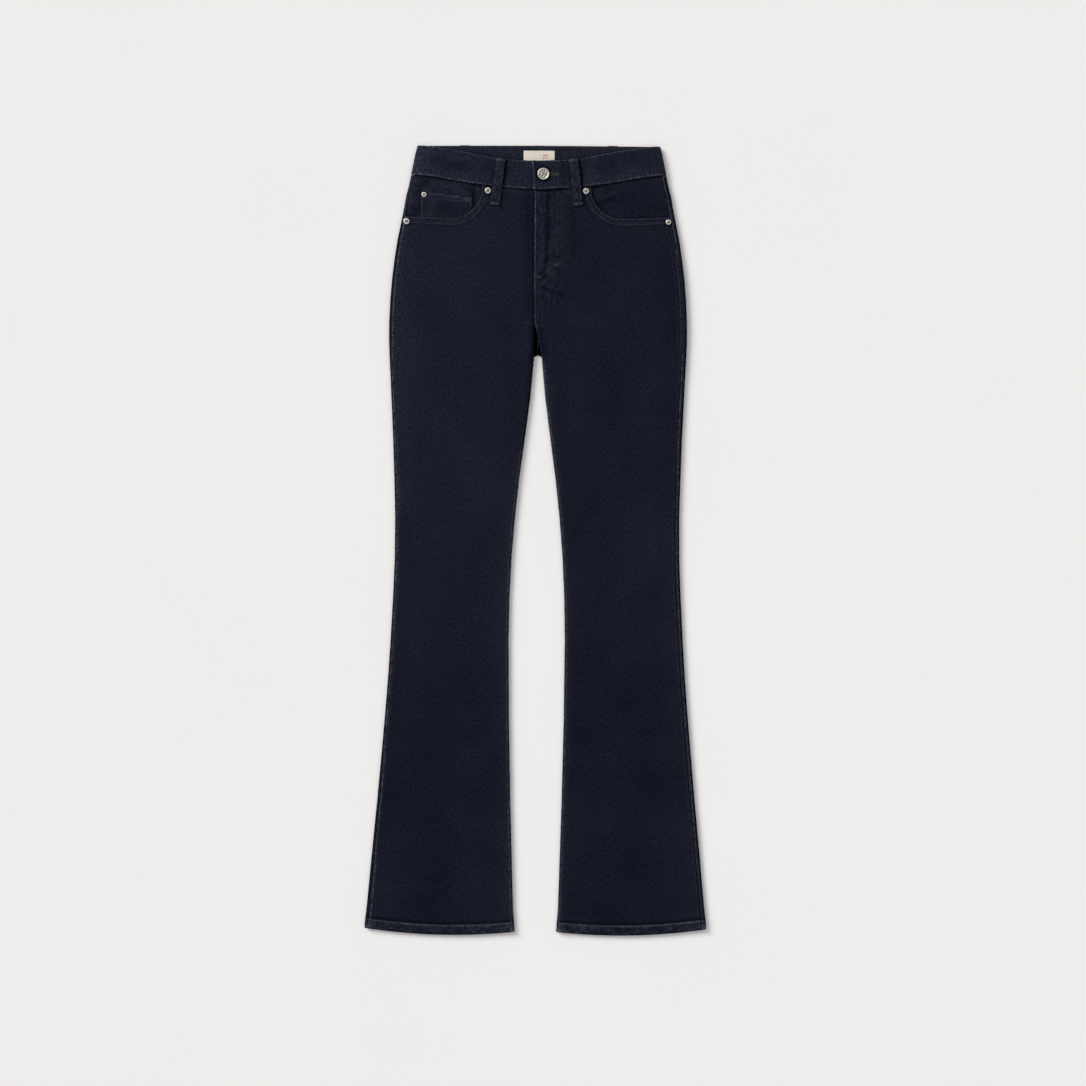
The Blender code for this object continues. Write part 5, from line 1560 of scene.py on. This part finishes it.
def turned(name, profile, steps, places, ripple, material, slot):
    """Turned pieces: a profile swept round the vertical axis at each place, its ripple raised towards the rim.

    The profile's rows hold the radius, the level and how dull the metal is there."""
    profile = np.array(profile, float)
    angles = np.linspace(0.0, 2.0 * math.pi, steps, endpoint=False)
    radius = np.repeat(profile[:, None, 0], steps, axis=1)
    raised = ripple(radius, angles[None, :])
    level = profile[:, None, 1] + raised
    ring = np.stack([radius * np.cos(angles), radius * np.sin(angles), level], axis=-1)
    count = ring.shape[0] * steps
    index = np.arange(count).reshape(-1, steps)
    following = np.roll(index, -1, axis=1)
    sides = np.stack([index[:-1], index[1:], following[1:], following[:-1]], axis=-1).reshape(-1, 4)
    bottom, top = count, count + 1
    caps = [(top, following[0, i], index[0, i]) for i in range(steps)]
    caps += [(bottom, index[-1, i], following[-1, i]) for i in range(steps)]
    middles = [[0.0, 0.0, level[-1].mean()], [0.0, 0.0, level[0].mean()]]
    body = np.concatenate([ring.reshape(-1, 3), middles])
    dullness = profile[:, None, 2] - RECESS_DULLNESS * raised
    dull = np.append(dullness.ravel(), (profile[-1, 2], profile[0, 2]))
    points = []
    faces = []
    for number, (x, y, seat, size) in enumerate(places):
        start = number * len(body)
        points.append(body * size + np.array((x, y, seat)))
        faces += (sides + start).tolist() + [tuple(corner + start for corner in cap) for cap in caps]
    mesh = bpy.data.meshes.new(name)
    mesh.from_pydata((np.concatenate(points) * MM).tolist(), [], faces)
    obj = dress(name, mesh, material, slot)
    set_attribute(obj, "tarnish", "FLOAT", np.tile(dull, len(places)))
    return obj


def button_ripple(radius, angle):
    """A ring of eight low beads inside the rim, and a hammered middle: two waves round the axis."""
    beads = 0.15 * bell(radius - 4.7, 1.1) * np.cos(8.0 * angle + 0.5)
    middle = 0.16 * bell(radius - 2.4, 1.4) * np.cos(3.0 * angle + 1.3 * radius)
    return beads + middle


def no_ripple(radius, angle):
    """Nothing raised anywhere: a plain turned face."""
    return 0.0 * radius * angle


def build_metal():
    """The waist button, and the five pocket rivets as one piece."""
    places = [(*BUTTON_AT, 0.0, 1.0)]
    button = turned("waist_button_metal", BUTTON_PROFILE, BUTTON_STEPS, places, button_ripple, NICKEL, "nickel")
    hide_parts("waist_button")
    places = list(RIVETS.values())
    rivets = turned("pocket_rivets", RIVET_PROFILE, RIVET_STEPS, places, no_ripple, NICKEL, "nickel")
    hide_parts(*[f"rivet_{name}" for name in RIVETS])


# Sewing

class Sewing:
    """Stitches that are gathered by thread, and made into one mesh for each thread and seam group."""

    def __init__(self):
        """No stitches yet, and the random numbers that make each one a little different."""
        self.groups = {}
        self.random = np.random.default_rng(STITCH_SEED)

    def row(self, group, path, pitch=3.1, fill=0.80, thick=0.36, up=1.0):
        """A row of stitches along a path of points on the cloth."""
        path = np.asarray(path, float)
        steps = np.linalg.norm(np.diff(path, axis=0), axis=1)
        along = np.concatenate([[0.0], np.cumsum(steps)])
        count = max(int(along[-1] / pitch), 1)
        first = (np.arange(count) + 0.1) * along[-1] / count
        last = first + along[-1] / count * fill * (1.0 + 0.05 * self.random.standard_normal(count))
        start = np.stack([np.interp(first, along, path[:, k]) for k in range(3)], axis=1)
        end = np.stack([np.interp(last, along, path[:, k]) for k in range(3)], axis=1)
        self.add(group, start, end, thick, up)

    def zigzag(self, group, start, end, width, pitch, level, thick=0.34, up=1.0):
        """A bar of close stitches across the line from start to end, as in a bartack or a buttonhole."""
        start, end = np.array(start, float), np.array(end, float)
        length = np.hypot(*(end - start))
        direction = (end - start) / length
        across = np.array((-direction[1], direction[0]))
        count = max(int(length / pitch), 2)
        place = start + np.linspace(0.0, 1.0, count)[:, None] * (end - start)
        reach = width / 2 * (1.0 + 0.08 * self.random.standard_normal((count, 1)))
        high = np.full((count, 1), level)
        first = np.concatenate([place - across * reach, high], axis=1)
        last = np.concatenate([place + across * reach, high], axis=1)
        self.add(group, first, last, thick, up)

    def add(self, group, start, end, thick, up):
        """Square rings along each stitch: thick in its middle, thin and sunk into the cloth at both ends."""
        along = end - start
        vertical = np.zeros_like(along)
        vertical[:, 2] = up
        across = np.cross(along, vertical)
        across /= np.maximum(np.linalg.norm(across, axis=1, keepdims=True), 1e-9)
        angle = np.radians((45.0, 135.0, 225.0, 315.0))
        ring = np.stack([np.cos(angle), np.sin(angle)], axis=1)
        size = thick * STITCH_SWELL[None, :, None, None]
        sideways = ring[None, None, :, 0:1] * size
        upwards = ring[None, None, :, 1:2] * size + thick * STITCH_RISE[None, :, None, None]
        points = (
            start[:, None, None, :]
            + STITCH_RINGS[None, :, None, None] * along[:, None, None, :]
            + sideways * across[:, None, None, :]
            + upwards * vertical[:, None, None, :]
        )
        self.groups.setdefault(group, []).append(points)

    def build(self, materials):
        """One mesh for each group: each stitch's rings joined by faces and closed at both ends."""
        rings = len(STITCH_RINGS)
        index = np.arange(rings * 4).reshape(rings, 4)
        following = np.roll(index, -1, axis=1)
        sides = np.stack([index[:-1], following[:-1], following[1:], index[1:]], axis=-1).reshape(-1, 4)
        template = np.concatenate([sides, [index[0, ::-1]], [index[-1]]])
        for group, parts in self.groups.items():
            points = np.concatenate(parts)
            outward = facing_out(points[0].reshape(-1, 3), template)
            faces = (outward[None] + rings * 4 * np.arange(len(points))[:, None, None]).reshape(-1, 4)
            material = materials[group.split("_")[0]]
            mesh_object(f"stitches_{group}", points.reshape(-1, 3), faces, material, "denim")


def front_path(side, points, out=0.12, count=160):
    """Points on a front's face along a line through the given places, evenly read."""
    points = np.array(points, float)
    steps = np.concatenate([[0.0], np.cumsum(np.hypot(*np.diff(points, axis=0).T))])
    at = np.linspace(0.0, steps[-1], count)
    x = np.interp(at, steps, points[:, 0])
    y = np.interp(at, steps, points[:, 1])
    return front_face(side, x, y, out)


def leg_path(side, heights, inset_from, inset, out=0.1):
    """Points down a leg at a distance in from its outer seam or its inner edge, following the bent rows."""
    inner = inner_edge(side, heights)
    outer = section("outer", heights)
    across = {"outer": outer - SIDE_SEAM_INSET[side] - inset, "inner": inner + inset}[inset_from]
    y = heights - hem_warp(heights, across, inner, outer)
    return front_face(side, SIGN[side] * across, y, out)


def sew_legs(sewing):
    """Down each front: the hem row, the inseam, and the side seam's two rows above and one below."""
    for side, sign in SIGN.items():
        shares = np.linspace(0.0, 1.0, 200)
        inner = inner_edge(side, HEM_STITCH)
        outer = section("outer", HEM_STITCH)
        across = inner + 3.0 + (outer - SIDE_SEAM_INSET[side] - inner - 3.0) * shares
        y = HEM_STITCH - hem_warp(HEM_STITCH, across, inner, outer)
        sewing.row("tan_hem", front_face(side, sign * across, y, 0.25), 4.4, fill=0.66, thick=0.50)
        to_hem = HEM_EDGE + 2.0
        upper = np.linspace(450.0, 270.0, 160)
        lines = (
            ("tonal_inseam", np.linspace(252.0, 172.0, 60), "inner", 3.4, 3.2, 0.5, 0.27),
            ("brown_inseam", np.linspace(170.0, to_hem, 400), "inner", 3.4, 3.2, 0.5, 0.27),
            ("tonal_side", upper, "outer", 2.0, 3.1, 0.55, 0.30),
            ("tonal_side", upper, "outer", 7.5, 3.1, 0.55, 0.28),
            ("tonal_side", np.linspace(268.0, to_hem, 400), "outer", 1.6, 3.3, 0.5, 0.24),
        )
        for group, heights, inset_from, inset, pitch, fill, thick in lines:
            sewing.row(group, leg_path(side, heights, inset_from, inset), pitch, fill=fill, thick=thick)


def mouth_path(side, outside):
    """A line that runs a distance outside the pocket mouth's edge, from the waist seam to the side seam."""
    inner = MOUTH_INNER[side]
    centre = inner + MOUTH_RADIUS
    radius = MOUTH_RADIUS + outside
    angles = np.linspace(math.pi, 1.5 * math.pi, 60)
    across = centre + radius * np.cos(angles)
    height = MOUTH_LEVEL + MOUTH_RADIUS + radius * np.sin(angles)
    end = section("outer", MOUTH_LEVEL) - SIDE_SEAM_INSET[side] - 1.5
    across = np.concatenate([[across[0]], across, [end]])
    height = np.concatenate([[front_seam(across[0]) - 1.5], height, [height[-1] + MOUTH_RISE * (end - centre)]])
    return [(SIGN[side] * a, h) for a, h in zip(across, height)]


def coin_row(down, over):
    """Points just above the coin pocket's face, at shares down it and in from its outer edge."""
    places = coin_points(down, over)
    level = facing_level("right", places[:, 0], places[:, 1]) + COIN_OFFSET + LINING_WALL / 2 + COIN_ROW_RISE
    return np.stack([-places[:, 0], places[:, 1], level], axis=1)


def sew_pockets(sewing):
    """Two rows along each pocket mouth, two along the coin pocket's top, three down it and its thread bar."""
    for side in SIGN:
        sewing.row("tonal_pockets", front_path(side, mouth_path(side, 1.6)), 3.0, fill=0.5, thick=0.32)
        sewing.row("tonal_pockets", front_path(side, mouth_path(side, 8.6)), 3.0, fill=0.55, thick=0.34)
    for down in (0.035, 0.155):
        sewing.row("tonal_pockets", coin_row(np.full(80, down), np.linspace(0.02, 0.985, 80)), fill=0.6)
    for over in (0.975, 0.90, 0.03):
        sewing.row("tonal_pockets", coin_row(np.linspace(0.03, 0.9, 60), np.full(60, over)), fill=0.55)
    sewing.zigzag("brown_pockets", (-105.5, 482.8), (-97.3, 481.0), 7.4, 0.85, 7.5, thick=0.28)


def sew_fly(sewing):
    """The fly: a row beside its edge, its two curved rows, the front seam's two rows below it and its bars."""
    sewing.row("tonal_fly", front_path("left", [(-4.6, 494.0), (-4.6, 326.0)]), 3.0, fill=0.5, thick=0.28)
    for line in FLY_STITCHES:
        sewing.row("brown_fly", front_path("left", line), 3.1, fill=0.48, thick=0.25)
    for x in (-0.6, 4.6):
        sewing.row("tonal_fly", front_path("left", [(x, 366.0), (x + 0.4, 312.0)]), 3.0, fill=0.5, thick=0.30)
    for (x0, y0), (x1, y1) in FLY_TACKS:
        level = front_face("left", np.array((x0, x1)), np.array((y0, y1)), 0.1)[:, 2].max()
        sewing.zigzag("brown_fly", (x0, y0), (x1, y1), 3.8, 1.0, level, thick=0.26)


def sew_band(sewing):
    """The waistband: a row along both edges and across its lapped end, and the buttonhole."""
    share, kind = band_columns()[:2]
    middle, _ = band_middle(np.array(BAND_ROWS))
    back = np.flatnonzero(kind == 2)
    right_half = np.arange(len(share)) < len(share) // 2
    over_right = (share < OVERLAP_END_TOP - 0.005) & (share > -0.985) & right_half
    front_right = np.flatnonzero((kind == 0) & over_right)
    front_left = np.flatnonzero((kind == 0) & (share < 0.985) & ~right_half)
    for row, down in enumerate(BAND_ROWS):
        for part in (front_right, front_left):
            line = middle[row][part].copy()
            relief = band_relief(line[:, 0], line[:, 1], np.full(len(line), down))
            line[:, 2] += BAND_WALL / 2 + relief + 0.1
            sewing.row("tonal_band", line, 3.0, fill=0.55, thick=0.32)
        line = middle[row][back[3:-3]].copy()
        line[:, 2] -= BAND_WALL / 2 - 0.1
        sewing.row("tonal_band_back", line, 3.0, thick=0.3, up=-1.0)
    inside = middle[0][back].copy()
    inside[:, 2] += BAND_WALL / 2 + 0.1
    sewing.row("brown_band", inside, 3.0, fill=0.5, thick=0.26)
    face = BAND_OVERLAP_LEVEL + BAND_WALL / 2
    end_x = np.array((OVERLAP_END_TOP, OVERLAP_END_BOTTOM)) * (section("outer", BAND_REACH_AT) - 3.2) + 2.9
    ends = np.stack([end_x, np.array((536.0, 499.5)), np.full(2, face + 0.15)], axis=1)
    sewing.row("tonal_band", ends, 3.0, fill=0.5, thick=0.32)
    level = face + 0.12
    for start_offset, end_offset in ((-2.3, -1.2), (2.3, -0.1)):
        start = (BUTTONHOLE_START, BUTTON_AT[1] + start_offset)
        end = (BUTTONHOLE_END, BUTTON_AT[1] + end_offset)
        sewing.zigzag("brown_buttonhole", start, end, 1.7, 0.62, level, thick=0.30)
    low, high = [(BUTTONHOLE_END, height) for height in BUTTONHOLE_BAR]
    sewing.zigzag("brown_buttonhole", low, high, 2.0, 0.75, level, thick=0.24)


def sew_loops(sewing):
    """Each front loop: two rows along it, and a thread bar across it near both ends."""
    for top, bottom in FRONT_LOOPS.values():
        start, end = np.array(top), np.array(bottom)
        length = np.hypot(*(end - start))
        along = (end - start) / length
        across = np.array((-along[1], along[0]))
        s = np.linspace(2.0, length - 2.0, 60)
        level = from_table(LOOP_LEVELS, 1, s) + LOOP_WALL / 2 + 0.2
        for offset in LOOP_ROWS:
            place = start + s[:, None] * along + offset * across
            line = np.concatenate([place, level[:, None]], axis=1)
            sewing.row("tonal_loops", line, 2.9, fill=0.5, thick=0.28)
        for at in (2.8, length - 2.8):
            first, last = start + at * along - across * 5.0, start + at * along + across * 5.0
            high = from_table(LOOP_LEVELS, 1, at) + LOOP_WALL / 2 + 0.2
            sewing.zigzag("brown_loops", first, last, 2.8, 1.0, high, thick=0.26)


def level_row(x, y, z):
    """Points of a row that runs at one height above the surface."""
    return np.stack([x, y, np.full(len(y), z)], axis=1)


def sew_back(sewing):
    """Rows on the underside: yoke seams, seat seam, hems, back pockets and loops."""
    for side, sign in SIGN.items():
        across = np.linspace(3.0, 180.0, 120)
        for drop in (2.0, 8.0):
            line = level_row(sign * across, yoke_seam(across) + drop, 1.6)
            sewing.row("tonal_back", line, 3.1, thick=0.3, up=-1.0)
        for inset in (0.022, 0.075):
            far = 1.0 - inset
            over = np.concatenate([np.full(50, inset), np.linspace(inset, far, 50), np.full(50, far)])
            down = np.concatenate([np.linspace(0.02, far, 50), np.full(50, far), np.linspace(far, 0.02, 50)])
            line = level_row(*back_pocket_point(side, over, down), UNDERSIDE_STITCHES)
            sewing.row("brown_back", line, 3.1, thick=0.28, up=-1.0)
        top_row = back_pocket_point(side, np.linspace(0.02, 0.98, 60), np.full(60, 0.10))
        sewing.row("brown_back", level_row(*top_row, UNDERSIDE_STITCHES), 3.1, thick=0.28, up=-1.0)
        inner = inner_edge("right", HEM_STITCH)
        outer = section("outer", HEM_STITCH)
        hem_across = np.linspace(inner + 4.0, outer - 4.0, 150)
        y = HEM_STITCH - hem_warp(HEM_STITCH, hem_across, inner, outer)
        line = level_row(sign * hem_across, y, UNDERSIDE_STITCHES)
        sewing.row("brown_back", line, 3.3, thick=0.3, up=-1.0)
    for x in (2.0, 8.0):
        line = np.array(((x, 453.0, 1.6), (x, 272.0, 1.4)))
        sewing.row("tonal_back", line, 3.1, thick=0.3, up=-1.0)
    for x in BACK_LOOPS.values():
        for offset in LOOP_ROWS:
            ends = np.array((BACK_LOOP_ENDS[0] - 2.0, BACK_LOOP_ENDS[1] + 2.0))
            line = level_row(np.full(2, x + offset), ends, UNDERSIDE_STITCHES)
            sewing.row("tonal_back", line, 2.9, thick=0.28, up=-1.0)


def build_sewing():
    """All the rows, in the order in which their random numbers are drawn, then their meshes."""
    sewing = Sewing()
    for sew in (sew_legs, sew_pockets, sew_fly, sew_band, sew_loops, sew_back):
        sew(sewing)
    sewing.build({"brown": BROWN_THREAD, "tan": TAN_THREAD, "tonal": TONAL_THREAD})


# Stage

def build_stage():
    """A plain pale floor, a key light from the upper left, a wide one overhead, an even sky and the camera."""
    mesh = bpy.data.meshes.new("floor")
    corners = [(x * FLOOR_REACH, y * FLOOR_REACH, FLOOR_LEVEL) for x, y in ((-1, -1), (1, -1), (1, 1), (-1, 1))]
    mesh.from_pydata(corners, [], [(0, 1, 2, 3)])
    material, shader = new_material("pale_floor", 0.9, specular=0.1)
    place = object_place(material)
    colour = mix_colours(material, noise(material, place, 3.0, 2.0), *FLOOR_COLOURS)
    material.node_tree.links.new(colour, shader.inputs["Base Color"])
    mesh.materials.append(material)
    add_object("floor", mesh)
    scene = bpy.context.scene
    world = bpy.data.worlds.new("soft_sky")
    world.use_nodes = True
    background = world.node_tree.nodes["Background"]
    background.inputs[0].default_value = SKY_COLOUR
    background.inputs[1].default_value = SKY_STRENGTH
    scene.world = world
    for name, strength, angle, tilt, turn, tint in LIGHTS:
        light = bpy.data.lights.new(name, "SUN")
        light.energy = strength
        light.angle = math.radians(angle)
        light.color = tint
        add_object(name, light).rotation_euler = (math.radians(tilt), 0.0, math.radians(turn))
    lens = bpy.data.cameras.new("camera")
    lens.lens = CAMERA["lens"]
    lens.sensor_width = CAMERA["sensor"]
    lens.clip_end = 50.0
    camera = add_object("camera", lens)
    camera.location = CAMERA["place"]
    camera.rotation_euler = (0.0, 0.0, math.radians(CAMERA["turn"]))
    scene.camera = camera
    scene.view_settings.view_transform = "Standard"


def build_garment():
    """Every piece, from the legs up, then the metal and the sewing."""
    pieces = {}
    for side in SIGN:
        pieces[f"{side}_front"] = build_front(side)
        pieces[f"{side}_back"] = build_back(side)
        pieces[f"{side}_yoke"] = build_yoke(side)
        pieces[f"{side}_facing"] = build_facing(side)
        pieces[f"{side}_back_pocket"] = build_back_pocket(side)
    pieces["waistband"] = build_waistband()
    pieces["coin_pocket"] = build_coin_pocket()
    pieces["loops"] = build_loops()
    pieces["label"] = build_label()
    pieces["shield"], pieces["tapes"] = build_fly()
    build_metal()
    build_sewing()


build_garment()
build_stage()
